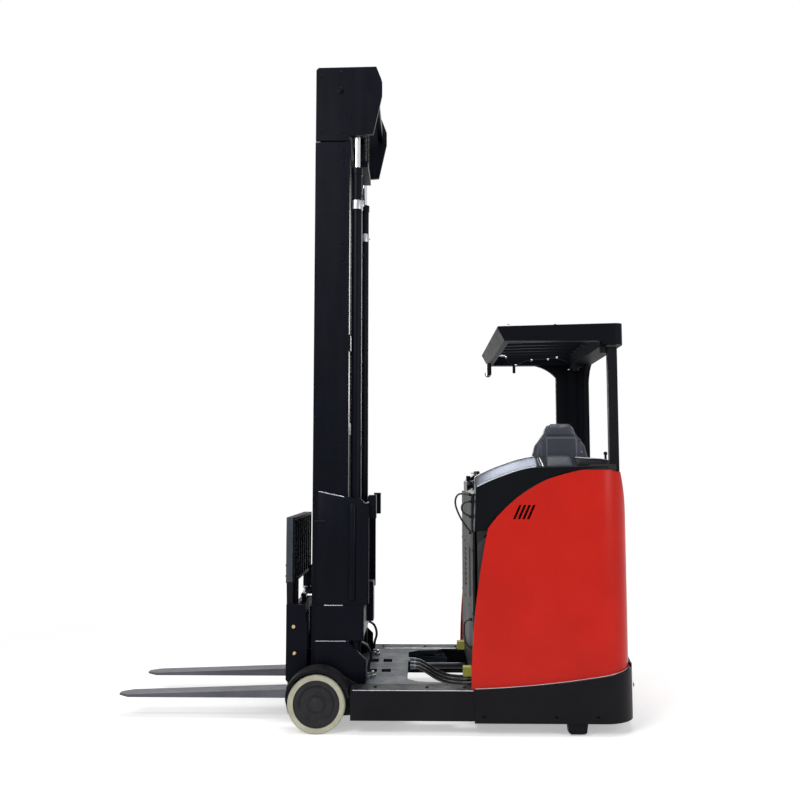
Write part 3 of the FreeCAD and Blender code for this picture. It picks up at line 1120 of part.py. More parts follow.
# ---------------------------------------------------------------- reach carriage
plates = prism("xz", [
    (s.mast_front + 16, s.mast_low), (s.cradle_rear - 15, s.mast_low),
    (s.cradle_rear - 15, s.cradle_cut), (s.cradle_rear - 121, s.cradle_notch),
    (s.cradle_rear - 27, s.cradle_notch + 3), (s.cradle_rear - 27, s.cradle_waist),
    (s.cradle_rear, s.cradle_waist + 5), (s.cradle_rear, s.cradle_top),
    (s.cradle_rear - 40, s.cradle_top + 41), (s.cradle_front + 17, s.cradle_tip),
    (s.cradle_front, s.cradle_tip - 12), (s.cradle_front, s.cradle_waist + 5),
    (s.mast_front + 16, s.cradle_waist)],
    -s.mast_half - s.cradle_t, -s.mast_half)
cradle_parts = [plates, flip(plates)]
knob = box(s.cradle_rear - 6, s.cradle_rear + s.knob_out, s.knob_in - s.lift_y,
           s.knob_in + s.knob_w - s.lift_y, s.knob_low, s.knob_high)
cross = box(s.cradle_rear - 31, s.cradle_rear - 6, -s.mast_half, s.mast_half,
            s.cross_low, s.cross_high)
low_cross = box(s.cradle_rear - 38, s.cradle_rear - 27, -s.mast_half, s.mast_half,
                s.tie_low, s.tie_high)
cradle_parts += [knob, flip(knob), cross, low_cross]
cradle_parts.append(box(s.cradle_rear - 27, s.cradle_rear + 9, -s.bracket_half, s.bracket_half,
                        s.bracket_low, s.bracket_high))
node("mast_cradle", fuse(cradle_parts))

wing = prism("xz", [
    (s.mast_front + 16, s.wing_low), (s.mast_front + 16, s.deck_low), (s.deck_rear, s.deck_low),
    (s.wing_rear, s.deck_low - 22), (s.wing_rear, s.wing_low + 16), (s.wing_rear - 30, s.wing_low)],
    -s.deck_half, -s.wing_in)
deck = prism("xy", [
    (s.mast_rear, -s.mast_half + 2), (s.mast_rear, s.mast_half - 2),
    (s.cradle_rear - 13, s.mast_half - 2), (s.cradle_rear - 13, s.deck_half),
    (s.wing_rear - 20, s.deck_half), (s.wing_rear - 60, s.wing_in + 20), (s.deck_rear + 60, s.wing_in),
    (s.deck_rear, s.wing_in - 60), (s.deck_rear, 60 - s.wing_in), (s.deck_rear + 60, -s.wing_in),
    (s.wing_rear - 60, -s.wing_in - 20), (s.wing_rear - 20, -s.deck_half),
    (s.cradle_rear - 13, -s.deck_half), (s.cradle_rear - 13, 2 - s.mast_half)],
    s.deck_low, s.leg_top)
slots = []
for y0, y1 in ((s.slot_far, s.slot_far + s.slot_far_w), (-s.slot_near - s.slot_near_w, -s.slot_near)):
    slots.append(box(s.slot_x1, s.slot_x1 + s.slot_len1, y0, y1, s.deck_low - 5, s.leg_top + 5))
    slots.append(box(s.slot_x0, s.slot_x0 + s.slot_len0, y0, y1, s.deck_low - 5, s.leg_top + 5))
deck = cut(deck, slots)
wing_pair = [wing, flip(wing)]
under_tie = box(s.mast_front, s.mast_rear + 60, -s.wing_in - 1, s.wing_in + 1,
                s.mast_low - 14, s.mast_low)
under_web = box(s.mast_rear + 20, s.mast_rear + 60, -s.mast_half, s.mast_half,
                s.mast_low - 2, s.deck_low)
reach_lug = box(s.reach_eye - 60, s.reach_eye, s.reach_y - 22, s.reach_y + 22, s.reach_z - 24, s.deck_low)
wing_filler = []
for sign in (-1, 1):
    edge = s.mast_half + s.cradle_t
    low_y = edge if sign > 0 else -s.wing_in
    high_y = s.wing_in if sign > 0 else -edge
    wing_filler.append(box(s.mast_front + 40, s.cradle_rear - 30, low_y, high_y,
                           s.wing_low + 8, s.deck_low - 8))
hose_bar = box(s.deck_rear - 1, s.hose_edge, s.hose_y - s.hose_pitch - 24, s.hose_y + s.hose_pitch + 24,
               s.hose_z - s.hose_rise - 22, s.leg_top - 1)
node("reach_deck", fuse([deck, under_tie, under_web, reach_lug, hose_bar] + wing_pair + wing_filler))
track = (s.leg_top + s.leg_bottom) / 2
reach_roller_r = (s.leg_top - s.leg_bottom) / 2 - s.leg_flange - s.seat
roller_parts = []
for x in (s.roller_front + 80, s.roller_rear):
    roller_parts.append(fuse([
        rod("y", x, -half + s.leg_web + 12, track, reach_roller_r, 52),
        rod("y", x, -half + s.leg_web + 60, track, 24, half - s.leg_web - 60 - s.deck_half)]))
node("reach_rollers", group(roller_parts + [flip(part) for part in roller_parts], "rollers"))

node("reach_barrel", fuse([
    turned("x", s.reach_front, s.reach_y, s.reach_z, [
        (s.reach_rod_r + s.fit, 0), (s.reach_r + 3, 0), (s.reach_r + 3, 40), (s.reach_r, 42),
        (s.reach_r, s.reach_end - s.reach_front), (0, s.reach_end - s.reach_front),
        (0, s.reach_end - s.reach_front - 20), (s.reach_bore, s.reach_end - s.reach_front - 20),
        (s.reach_bore, 50), (s.reach_rod_r + s.fit, 50)]),
    box(s.leg_rear - 120, s.leg_rear - 80, s.reach_y - 30, s.reach_y + 30,
        s.reach_z + s.reach_r - 6, s.under_low)]))
node("reach_rod", turned("x", s.reach_eye, s.reach_y, s.reach_z, [
    (0, 0), (s.reach_rod_r, 0), (s.reach_rod_r, s.reach_front - s.reach_eye + 52),
    (s.reach_bore - 0.5, s.reach_front - s.reach_eye + 56),
    (s.reach_bore - 0.5, s.reach_front - s.reach_eye + 90),
    (0, s.reach_front - s.reach_eye + 90)]))

# ---------------------------------------------------------------- hoses and cables
pipes = []
pipe_y = s.lift_y - s.pipe_in
for y in (pipe_y - s.pipe_pitch, pipe_y):
    pipes.append(rod("z", s.mast_rear + 22, y, s.pipe_low, s.pipe_r, s.pipe_len))
for low in (480, 1145, 2100, s.mast_high - 85):
    pipes.append(box(s.mast_rear + 8, s.mast_rear + 32, pipe_y - s.pipe_pitch - s.clip_edge,
                     pipe_y + s.clip_edge, low, size(low) + s.clip_h))
node("mast_pipes", fuse(pipes))

front_cable = tube("xz", -s.cable_y, [
    (s.front_face, s.cable_high), (s.cable_out, s.cable_high), (s.cable_out, s.cable_low),
    (s.front_face, s.cable_low)], s.cable_r, s.cable_bend, "front_cable")
front_hose = tube("xz", -s.cable_y, [
    (s.front_face, s.lead_high), (s.lead_out, s.lead_high), (s.lead_out, s.lead_low),
    (s.front_face, s.lead_low)], s.cable_r, s.cable_bend, "front_hose")
node("front_cables", group([front_cable, front_hose], "front_cables"))
hoses = []
for place_in_row in (-1, 0, 1):
    y = s.hose_y + s.hose_pitch * place_in_row
    z = s.hose_z + s.hose_rise * place_in_row
    hoses.append(bent(y, [
        (s.hose_edge + s.seat, z), (s.hose_edge + 48, z), (s.hose_edge + 100, z - 28),
        (s.hose_edge + 160, z - 68), (s.hose_edge + 230, z - 94), (s.hose_edge + 315, z - 102),
        (s.hose_end - 110, z - 98), (s.hose_end - 50, s.under_low - 118), (s.hose_end - 12, s.under_low - 84),
        (s.hose_end, s.under_low - 40), (s.hose_end, s.under_low - s.seat)],
        s.hose_r))
node("reach_hoses", group(hoses, "reach_hoses"))

# ---------------------------------------------------------------- write the pieces
doc.recompute()
bad = []
for thing in doc.Objects:
    state = " ".join(thing.State)
    if "Invalid" in state or "Error" in state:
        bad.append((thing.Label, state))
    shape = getattr(thing, "Shape", None)
    if shape is not None and not thing.isDerivedFrom("Sketcher::SketchObject"):
        if not thing.isDerivedFrom("App::OriginFeature") and (shape.isNull() or not shape.isValid()):
            bad.append((thing.Label, "shape"))
if bad:
    raise SystemExit(f"bad objects: {bad}")
for name, thing in NODES:
    thing.Shape.exportStep(os.path.join("parts", name + ".step"))
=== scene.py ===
"""Reach truck: looks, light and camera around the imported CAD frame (metres)."""

import math

import bmesh
import bpy
from mathutils import Matrix, Vector


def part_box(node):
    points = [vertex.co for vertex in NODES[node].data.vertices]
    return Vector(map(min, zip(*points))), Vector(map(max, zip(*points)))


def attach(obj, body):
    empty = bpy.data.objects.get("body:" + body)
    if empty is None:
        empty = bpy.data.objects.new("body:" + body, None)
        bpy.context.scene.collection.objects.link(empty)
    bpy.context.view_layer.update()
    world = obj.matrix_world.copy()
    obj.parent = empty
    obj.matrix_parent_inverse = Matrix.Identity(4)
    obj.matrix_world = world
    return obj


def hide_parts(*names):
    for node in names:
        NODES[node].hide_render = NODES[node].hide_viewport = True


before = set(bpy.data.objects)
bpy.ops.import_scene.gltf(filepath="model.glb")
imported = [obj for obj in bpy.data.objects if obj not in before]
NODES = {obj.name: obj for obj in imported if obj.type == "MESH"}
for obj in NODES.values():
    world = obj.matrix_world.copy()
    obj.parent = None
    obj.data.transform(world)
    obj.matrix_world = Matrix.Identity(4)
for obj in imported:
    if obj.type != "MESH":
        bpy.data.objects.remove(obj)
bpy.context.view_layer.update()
scene = bpy.context.scene
WHITE = (1, 1, 1, 1)


# ---------------------------------------------------------------- camera
EYE = (0.248, -5.358, 1.376)
TIP_UP, TURN_LEFT = 0.0853, 0.0197
LENS, SENSOR = 39.09, 36.0


def make_camera():
    """Eye-level view of the truck's side, a little turned and tipped up."""
    data = bpy.data.cameras.new("camera")
    data.lens = LENS
    data.sensor_width = SENSOR
    camera = bpy.data.objects.new("camera", data)
    camera.location = EYE
    camera.rotation_euler = (math.pi / 2 + TIP_UP, 0.0, TURN_LEFT)
    scene.collection.objects.link(camera)
    scene.camera = camera


make_camera()


# ---------------------------------------------------------------- material helpers
WAVE_SCALE = 0.314          # a wave texture's scale times its spacing
BLACK_GAP = (0.004, 0.004, 0.004, 1.0)


def add(tree, kind, inputs=None, **settings):
    """A shader node with its settings and inputs, where an input is a value or a socket."""
    node = tree.nodes.new("ShaderNode" + kind)
    for key, value in settings.items():
        setattr(node, key, value)
    for key, value in (inputs or {}).items():
        socket = node.inputs[key]
        if isinstance(value, bpy.types.NodeSocket):
            tree.links.new(value, socket)
        else:
            socket.default_value = value
    return node


def srgb(red, green, blue):
    """Linear colour of an sRGB colour given from 0 to 255."""
    linear = []
    for channel in (red, green, blue):
        c = channel / 255
        linear.append(c / 12.92 if c <= 0.04045 else ((c + 0.055) / 1.055) ** 2.4)
    return (*linear, 1.0)


def ramp(tree, factor, low, high):
    """0 below low and 1 above high."""
    node = add(tree, "MapRange", {"Value": factor, "From Min": low, "From Max": high})
    node.clamp = True
    return node.outputs["Result"]


def mix(tree, factor, a, b):
    """Colour a where the factor is 0 and b where it is 1."""
    node = add(tree, "Mix", data_type="RGBA")
    for index, value in ((0, factor), (6, a), (7, b)):
        if isinstance(value, bpy.types.NodeSocket):
            tree.links.new(value, node.inputs[index])
        else:
            node.inputs[index].default_value = value
    return node.outputs[2]


def times(tree, a, b):
    """a times b, each a number or a socket."""
    return add(tree, "Math", {0: a, 1: b}, operation="MULTIPLY").outputs[0]


def plus(tree, a, b):
    """a plus b, each a number or a socket."""
    return add(tree, "Math", {0: a, 1: b}, operation="ADD").outputs[0]


def noise(tree, where, scale, detail, rough, stretch=None):
    """Cloudy pattern from 0 to 1, drawn out where stretch is given."""
    if stretch:
        where = add(tree, "Mapping", {"Vector": where, "Scale": stretch}).outputs[0]
    node = add(tree, "TexNoise", {"Vector": where, "Scale": scale, "Detail": detail,
                                  "Roughness": rough})
    return node.outputs[0]


def finish(name, colour, tone, rough, metal=0.0, gloss=0.5, coat=0.0, coat_rough=0.08,
           cloud=2.6, spread=0.12, grain=420.0, grain_depth=0.00004, edge=None,
           edge_width=0.0025, edge_share=0.6, dust=None, dust_share=0.25,
           streak=None, pebble=None, links=None, sheen=0.0, soft_edge=0.0015):
    """One surface: two tones, uneven gloss, a fine grain, worn edges and dust.

    streak is (scale, stretch, share) of drawn-out marks; pebble is the leather-grain
    spacing and links a chain's pitch along Z, both in metres.
    """
    material = bpy.data.materials.new(name)
    material.use_nodes = True
    tree = material.node_tree
    shader = tree.nodes["Principled BSDF"]
    where = add(tree, "TexCoord").outputs["Object"]
    facing = add(tree, "NewGeometry").outputs["Normal"]
    patches = noise(tree, where, cloud, 5.0, 0.6)
    specks = noise(tree, where, grain, 2.0, 0.5)
    shade = mix(tree, ramp(tree, patches, 0.35, 0.68), srgb(*colour), srgb(*tone))
    roughness = ramp(tree, noise(tree, where, cloud * 4.3, 6.0, 0.65), 0.25, 0.75)
    roughness = plus(tree, times(tree, roughness, spread), rough - spread / 2)
    height = specks
    if streak:
        scale, stretch, share = streak
        marks = ramp(tree, noise(tree, where, scale, 3.0, 0.6, stretch), 0.45, 0.75)
        light = [min(1.0, channel * 1.7 + 0.02) for channel in srgb(*tone)[:3]]
        shade = mix(tree, times(tree, marks, share), shade, (*light, 1.0))
        roughness = plus(tree, roughness, times(tree, marks, 0.12))
        height = plus(tree, times(tree, specks, 0.4), times(tree, marks, 0.6))
    if links:
        bands = add(tree, "TexWave", {"Vector": where, "Scale": WAVE_SCALE / links},
                    bands_direction="Z").outputs["Fac"]
        plates = ramp(tree, bands, 0.12, 0.3)
        shade = mix(tree, plates, BLACK_GAP, shade)
        height = plus(tree, times(tree, plates, 30.0), specks)
    if pebble:
        cells = add(tree, "TexVoronoi", {"Vector": where, "Scale": 1 / pebble},
                    feature="DISTANCE_TO_EDGE").outputs["Distance"]
        height = plus(tree, ramp(tree, cells, 0.0, 0.25), times(tree, specks, 0.3))
    if edge:
        rounded = add(tree, "Bevel", {"Radius": edge_width}, samples=6).outputs["Normal"]
        along = add(tree, "VectorMath", {0: rounded, 1: facing}, operation="DOT_PRODUCT")
        bare = add(tree, "Math", {0: 1.0, 1: along.outputs["Value"]}, operation="SUBTRACT")
        rubbed = times(tree, ramp(tree, bare.outputs[0], 0.04, 0.2),
                       ramp(tree, noise(tree, where, 38.0, 6.0, 0.7), 0.42, 0.6))
        shade = mix(tree, times(tree, rubbed, edge_share), shade, srgb(*edge))
        roughness = plus(tree, roughness, times(tree, rubbed, 0.1))
    if dust:
        upward = add(tree, "SeparateXYZ", {0: facing}).outputs["Z"]
        film = times(tree, ramp(tree, upward, 0.3, 0.95),
                     ramp(tree, noise(tree, where, 9.0, 7.0, 0.7), 0.35, 0.7))
        shade = mix(tree, times(tree, film, dust_share), shade, srgb(*dust))
        roughness = plus(tree, roughness, times(tree, film, 0.2))
    smooth = {"Height": height, "Strength": 1.0, "Distance": grain_depth}
    if soft_edge:
        smooth["Normal"] = add(tree, "Bevel", {"Radius": soft_edge}, samples=4).outputs[0]
    bump = add(tree, "Bump", smooth).outputs["Normal"]
    tree.links.new(shade, shader.inputs["Base Color"])
    tree.links.new(roughness, shader.inputs["Roughness"])
    tree.links.new(bump, shader.inputs["Normal"])
    shader.inputs["Metallic"].default_value = metal
    shader.inputs["Specular IOR Level"].default_value = gloss
    shader.inputs["Coat Weight"].default_value = coat
    shader.inputs["Coat Roughness"].default_value = coat_rough
    shader.inputs["Sheen Weight"].default_value = sheen
    return material


SLOT_ROWS = {
    "red_paint": ((200, 32, 20), (187, 28, 18), 0.3, dict(gloss=0.14, coat=0.05,
        coat_rough=0.12, edge=(214, 70, 48), edge_share=0.3, spread=0.03, grain=260,
        grain_depth=0.00002)),
    "black_cover": ((13, 16, 21), (9, 12, 17), 0.32, dict(gloss=0.07, cloud=4.0, grain=900,
        edge=(84, 90, 100), edge_share=0.22, edge_width=0.0018)),
    "frame_black": ((24, 23, 27), (17, 17, 21), 0.42, dict(gloss=0.08, grain=300,
        grain_depth=0.00005, edge=(84, 86, 92), edge_share=0.3, dust=(92, 88, 82),
        dust_share=0.12)),
    "mast_black": ((12, 14, 24), (8, 11, 17), 0.3, dict(gloss=0.06, grain=240,
        edge=(70, 74, 84), edge_share=0.3, edge_width=0.0018,
        streak=(7.0, (3, 3, 0.25), 0.04))),
    # deck_grey: the lighter drawn-out streaks are painted reflections of the deck's gloss
    "deck_grey": ((42, 52, 63), (30, 38, 47), 0.3, dict(gloss=0.06, grain=300,
        grain_depth=0.00005, edge=(116, 122, 130), streak=(20.0, (0.5, 3, 3), 0.2),
        dust=(84, 86, 88), dust_share=0.1)),
    "panel_grey": ((42, 45, 42), (32, 35, 33), 0.46, dict(gloss=0.06, grain=500,
        grain_depth=0.0001, edge=(120, 120, 112), edge_share=0.4,
        streak=(5.0, (2, 2, 0.3), 0.15))),
    "fork_steel": ((96, 96, 104), (72, 72, 80), 0.4, dict(metal=0.65, grain=500,
        grain_depth=0.00008, edge=(190, 192, 196), streak=(26.0, (0.35, 4, 4), 0.35))),
    "tyre_cream": ((188, 187, 166), (170, 168, 148), 0.52, dict(gloss=0.25, cloud=14.0,
        grain=700, grain_depth=0.00008, edge=(120, 118, 104), edge_share=0.3, soft_edge=0.003)),
    "drive_tyre": ((58, 52, 44), (44, 40, 35), 0.62, dict(gloss=0.2, cloud=14.0, grain=700,
        grain_depth=0.00012, edge=(96, 90, 80), soft_edge=0.003)),
    "wheel_hub": ((38, 37, 40), (29, 29, 32), 0.44, dict(gloss=0.2, cloud=20.0, grain=900,
        grain_depth=0.0001, edge=(112, 108, 104))),
    "bumper_yellow": ((190, 186, 88), (172, 168, 72), 0.55, dict(gloss=0.3, cloud=16.0,
        grain=600, grain_depth=0.0001, edge=(120, 116, 70), soft_edge=0.004)),
    "steel_bright": ((178, 180, 184), (150, 152, 156), 0.3, dict(metal=0.9, cloud=18.0,
        grain=700, grain_depth=0.00005, edge=(220, 222, 226))),
    "chrome_rod": ((206, 210, 214), (190, 194, 200), 0.12, dict(metal=1.0, cloud=9.0,
        spread=0.06, grain=900, grain_depth=0.00001, streak=(40.0, (3, 3, 0.2), 0.1))),
    "chain_steel": ((78, 74, 68), (52, 48, 44), 0.4, dict(metal=0.8, cloud=30.0, grain=900,
        grain_depth=0.00006, edge=(150, 146, 138), links=0.0254)),
    "hose_rubber": ((20, 21, 24), (14, 15, 18), 0.22, dict(gloss=0.55, cloud=20.0,
        grain=900)),
    "seat_fabric": ((40, 44, 58), (30, 33, 46), 0.42, dict(gloss=0.4, cloud=12.0, pebble=0.0016,
        grain_depth=0.00008, sheen=0.12)),
    "battery_case": ((52, 54, 58), (42, 44, 48), 0.5, dict(gloss=0.3, grain=500,
        grain_depth=0.0001, edge=(120, 120, 118), dust=(140, 138, 130))),
    "motor_grey": ((92, 94, 96), (76, 78, 80), 0.5, dict(gloss=0.4, metal=0.3, grain=350,
        grain_depth=0.00025, edge=(140, 142, 144))),
}
# The same, after the slot that the surface belongs to and its own name.
EXTRA_ROWS = {
    "brass": ("steel_bright", "brass_zinc", (196, 178, 132), (168, 150, 108), 0.3, dict(
        metal=0.9, cloud=60.0, grain=900, edge=(236, 226, 196))),
    # silver: a real metal finish on the fittings; on the shoulder fairing its grey is partly a
    # painted highlight on the dark cover
    "silver": ("steel_bright", "silver_and_painted_highlight", (96, 100, 110), (90, 94, 104), 0.3, dict(
        metal=0.6, cloud=1.2, spread=0.03, grain=1400, grain_depth=0.000002, soft_edge=0.004)),
    # line: bright grey that paints highlights, as thin lines along lit edges and as glints on small
    # clips
    "line": ("steel_bright", "edge_lacquer", (196, 200, 206), (176, 180, 188), 0.24, dict(
        metal=0.55, cloud=12.0, grain=900, grain_depth=0.00003)),
    # Dark steel for the reach rod in place of its chrome: painted shade for the space under the
    # deck.
    "nitrided": ("steel_bright", "painted_shade_steel", (40, 41, 45), (30, 31, 35), 0.2, dict(
        metal=0.9, cloud=9.0, grain=900, grain_depth=0.00002)),
    # piping: the piping and the stud are real, and their light blue-grey is a painted highlight
    "piping": ("seat_fabric", "seat_piping_highlight", (112, 116, 132), (94, 98, 114), 0.4, dict(
        gloss=0.4, cloud=30.0, grain=900, grain_depth=0.00006)),
    "matt": ("mast_black", "matt_black", (13, 15, 21), (9, 11, 16), 0.5, dict(gloss=0.05,
        cloud=6.0, grain=400, grain_depth=0.00005)),
    "post": ("mast_black", "post_blue_black", (54, 60, 70), (44, 50, 58), 0.36, dict(
        gloss=0.3, grain=400, edge=(196, 202, 208))),
    "rubber": ("black_cover", "mat_rubber", (34, 34, 36), (27, 27, 29), 0.7, dict(gloss=0.2,
        cloud=10.0, grain=500, grain_depth=0.0002, edge=(74, 74, 74), edge_share=0.3,
        dust=(90, 86, 80), dust_share=0.12)),
    "lens": ("red_paint", "reflector_red", (150, 16, 16), (120, 10, 12), 0.16, dict(
        gloss=0.6, coat=0.4, cloud=30.0, pebble=0.005, grain_depth=0.0006)),
    "lamp": ("tyre_cream", "lamp_lens", (206, 208, 206), (188, 190, 188), 0.12, dict(
        gloss=0.6, coat=0.4, cloud=20.0, pebble=0.006, grain_depth=0.0005)),
}
LOOKS, SLOT_OF = {}, {}
for slot, (*tones, more) in SLOT_ROWS.items():
    LOOKS[slot] = finish(slot, *tones, **more)
    SLOT_OF[slot] = slot
for key, (slot, name, *tones, more) in EXTRA_ROWS.items():
    LOOKS[key] = finish(name, *tones, **more)
    SLOT_OF[key] = slot
# The reach rod gets dark steel as painted shade of the space under the deck.
DARK_NODES = {"reach_rod": "nitrided", "load_backrest": "matt", "overhead_guard": "matt",
              "guard_column_right": "matt"}


def dress_nodes():
    """Gives every CAD node the material of its slot in the record."""
    for name, thing in NODES.items():
        for slot in thing.material_slots:
            key = slot.material.name.split(".")[0] if slot.material else ""
            key = DARK_NODES.get(name, key)
            if key in LOOKS:
                slot.material = LOOKS[key]


dress_nodes()


# ---------------------------------------------------------------- mesh helpers
AXES = {"x": (1, 0, 0), "-x": (-1, 0, 0), "y": (0, 1, 0), "-y": (0, -1, 0),
        "z": (0, 0, 1), "-z": (0, 0, -1)}


def both_sides(node):
    """(sign, side's name, outward axis, outer face's y) of a node's left and right sides."""
    low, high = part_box(node)
    return ((-1, "left", "-y", low.y), (1, "right", "y", high.y))


def stand(at, axis):
    """Matrix that puts a shape's own z axis along the given one."""
    turn = Vector(AXES[axis]).to_track_quat("Z", "Y").to_matrix().to_4x4()
    return Matrix.Translation(at) @ turn


def lathe(bm, at, axis, profile, sides=32):
    """Revolves (radius, height) pairs round the axis."""
    place = stand(at, axis)
    rings = []
    for radius, height in profile:
        count = 1 if radius < 1e-6 else sides
        ring = []
        for step in range(count):
            angle = 2 * math.pi * step / sides
            spot = Vector((radius * math.cos(angle), radius * math.sin(angle), height))
            ring.append(bm.verts.new(place @ spot))
        rings.append(ring)
    for a, b in zip(rings, rings[1:]):
        for step in range(sides):
            ahead = (step + 1) % sides
            corners = [a[step % len(a)], b[step % len(b)], b[ahead % len(b)], a[ahead % len(a)]]
            corners = list(dict.fromkeys(corners))
            if len(corners) > 2:
                bm.faces.new(corners)


def ring_of(count, radius, x, z, first=90.0):
    """Points evenly round a circle, seen from the side."""
    for step in range(count):
        angle = math.radians(first + 360 / count * step)
        yield x + radius * math.cos(angle), z + radius * math.sin(angle)


def bolt(bm, at, axis, size=0.012):
    """Washer and hexagon head with a chamfered top."""
    lathe(bm, at, axis, [(0, 0), (size * 0.78, 0), (size * 0.78, size * 0.12),
                         (size * 0.56, size * 0.16), (0, size * 0.16)], 20)
    lathe(bm, at, axis, [(size * 0.55, size * 0.15), (size * 0.55, size * 0.46),
                         (size * 0.46, size * 0.55), (0, size * 0.55)], 6)


def button(bm, at, axis, radius, height):
    """Low round head with a rolled rim."""
    lathe(bm, at, axis, [(radius, 0), (radius, height * 0.6), (radius * 0.92, height * 0.86),
                         (radius * 0.75, height), (0, height)], 20)


def slab(bm, outline, axis, low, high, round_off=0.0015):
    """Outline of (across, up) pairs made solid along the axis, with rounded rims."""
    ends = []
    for w in (low, high):
        ring = []
        for u, v in outline:
            spot = {"x": (w, u, v), "y": (u, w, v), "z": (u, v, w)}[axis]
            ring.append(bm.verts.new(spot))
        ends.append(ring)
    count = len(outline)
    faces = [bm.faces.new(ends[0]), bm.faces.new(list(reversed(ends[1])))]
    for step in range(count):
        ahead = (step + 1) % count
        faces.append(bm.faces.new((ends[0][step], ends[1][step], ends[1][ahead],
                                   ends[0][ahead])))
    if round_off:
        rims = list(set(e for f in faces[:2] for e in f.edges))
        bmesh.ops.bevel(bm, geom=rims, offset=round_off, segments=2, profile=0.5,
                        affect="EDGES", clamp_overlap=True)


def rounded(u0, u1, v0, v1, radius, steps=5):
    """Rectangle with round corners, as (u, v) pairs."""
    corners = ((u1 - radius, v1 - radius, 0), (u0 + radius, v1 - radius, 90),
               (u0 + radius, v0 + radius, 180), (u1 - radius, v0 + radius, 270))
    outline = []
    for u, v, start in corners:
        for step in range(steps + 1):
            angle = math.radians(start + 90 * step / steps)
            outline.append((u + radius * math.cos(angle), v + radius * math.sin(angle)))
    return outline


def piece(name, bm, look, body="chassis", sharp=35):
    """Makes the mesh an object that rides on a CAD body."""
    bmesh.ops.recalc_face_normals(bm, faces=bm.faces)
    for face in bm.faces:
        face.smooth = True
    for edge in bm.edges:
        if len(edge.link_faces) == 2 and edge.calc_face_angle(0.0) > math.radians(sharp):
            edge.smooth = False
    mesh = bpy.data.meshes.new(name)
    bm.to_mesh(mesh)
    bm.free()
    return dressed(bpy.data.objects.new(name, mesh), look, body)


def dressed(thing, look, body):
    """Puts the object in the scene with its finish and its body."""
    scene.collection.objects.link(thing)
    thing.data.materials.append(LOOKS[look])
    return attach(thing, body)


def subdivided(thing, levels):
    """Gives the object a finer, rounder surface."""
    finer = thing.modifiers.new("finer", "SUBSURF")
    finer.levels = levels
    finer.render_levels = levels
    return thing


def lead(name, routes, radius, look, body="chassis"):
    """Cables, thin rims and painted highlight lines, each a smooth line near the points of its
    route.
    """
    curve = bpy.data.curves.new(name, "CURVE")
    curve.dimensions = "3D"
    for route in routes:
        spline = curve.splines.new("NURBS")
        spline.points.add(len(route) - 1)
        for point, spot in zip(spline.points, route):
            point.co = (*spot, 1.0)
        spline.order_u = min(3, len(route))
        spline.use_endpoint_u = True
    curve.resolution_u = 8
    curve.bevel_depth = radius
    curve.bevel_resolution = 3
    curve.use_fill_caps = True
    return dressed(bpy.data.objects.new(name, curve), look, body)


# ---------------------------------------------------------------- padded pieces
VOXEL = 0.006
PRESSURE = 4.0
CLOTH_FRAMES = 20
PAD_INSET = 0.012


def blown(name, bm):
    """Closed shape swollen by a cloth simulation, no point moving further than the inset."""
    mesh = bpy.data.meshes.new(name)
    bmesh.ops.recalc_face_normals(bm, faces=bm.faces)
    bm.to_mesh(mesh)
    bm.free()
    thing = bpy.data.objects.new(name, mesh)
    scene.collection.objects.link(thing)
    even = thing.modifiers.new("even", "REMESH")
    even.mode = "VOXEL"
    even.voxel_size = VOXEL
    thing.data = fixed(thing)
    thing.modifiers.clear()
    rest = [v.co.copy() for v in thing.data.vertices]
    cloth = thing.modifiers.new("cloth", "CLOTH")
    cloth.settings.use_pressure = True
    cloth.settings.uniform_pressure_force = PRESSURE
    cloth.settings.effector_weights.gravity = 0.0
    cloth.point_cache.frame_start = 1
    cloth.point_cache.frame_end = CLOTH_FRAMES
    for step in range(1, CLOTH_FRAMES + 1):
        scene.frame_set(step)
    thing.data = fixed(thing)
    thing.modifiers.clear()
    scene.frame_set(1)
    for vertex, start in zip(thing.data.vertices, rest):
        move = vertex.co - start
        if move.length > PAD_INSET:
            vertex.co = start + move.normalized() * PAD_INSET
    thing.data.materials.clear()
    thing.data.materials.append(LOOKS["seat_fabric"])
    for face in thing.data.polygons:
        face.use_smooth = True
    return thing


def fixed(thing):
    """The object's mesh with its modifiers applied."""
    graph = bpy.context.evaluated_depsgraph_get()
    graph.update()
    return bpy.data.meshes.new_from_object(thing.evaluated_get(graph))


def smoothed(thing):
    """Evens out the voxel steps."""
    soften = thing.modifiers.new("soften", "SMOOTH")
    soften.iterations = 3
    thing.data = fixed(thing)
    thing.modifiers.clear()
    return subdivided(thing, 1)


def press(thing, depth, width, distance):
    """Sinks a seam along its line, where distance(co) is how far a point lies from it."""
    for vertex in thing.data.vertices:
        gap = distance(vertex.co)
        if gap < width * 3:
            sink = depth * math.exp(-(gap / width) ** 2)
            vertex.co = vertex.co - vertex.normal * sink


# ---------------------------------------------------------------- seat
SEAM_DEPTH, SEAM_WIDTH = 0.008, 0.005


def segment_gap(a, b):
    """Distance, seen from the side, from the line between two (x, z) points."""
    ax, az = a
    bx, bz = b
    square = (bx - ax) ** 2 + (bz - az) ** 2

    def gap(spot):
        share = ((spot.x - ax) * (bx - ax) + (spot.z - az) * (bz - az)) / square
        share = min(1.0, max(0.0, share))
        return math.hypot(spot.x - ax - share * (bx - ax), spot.z - az - share * (bz - az))
    return gap


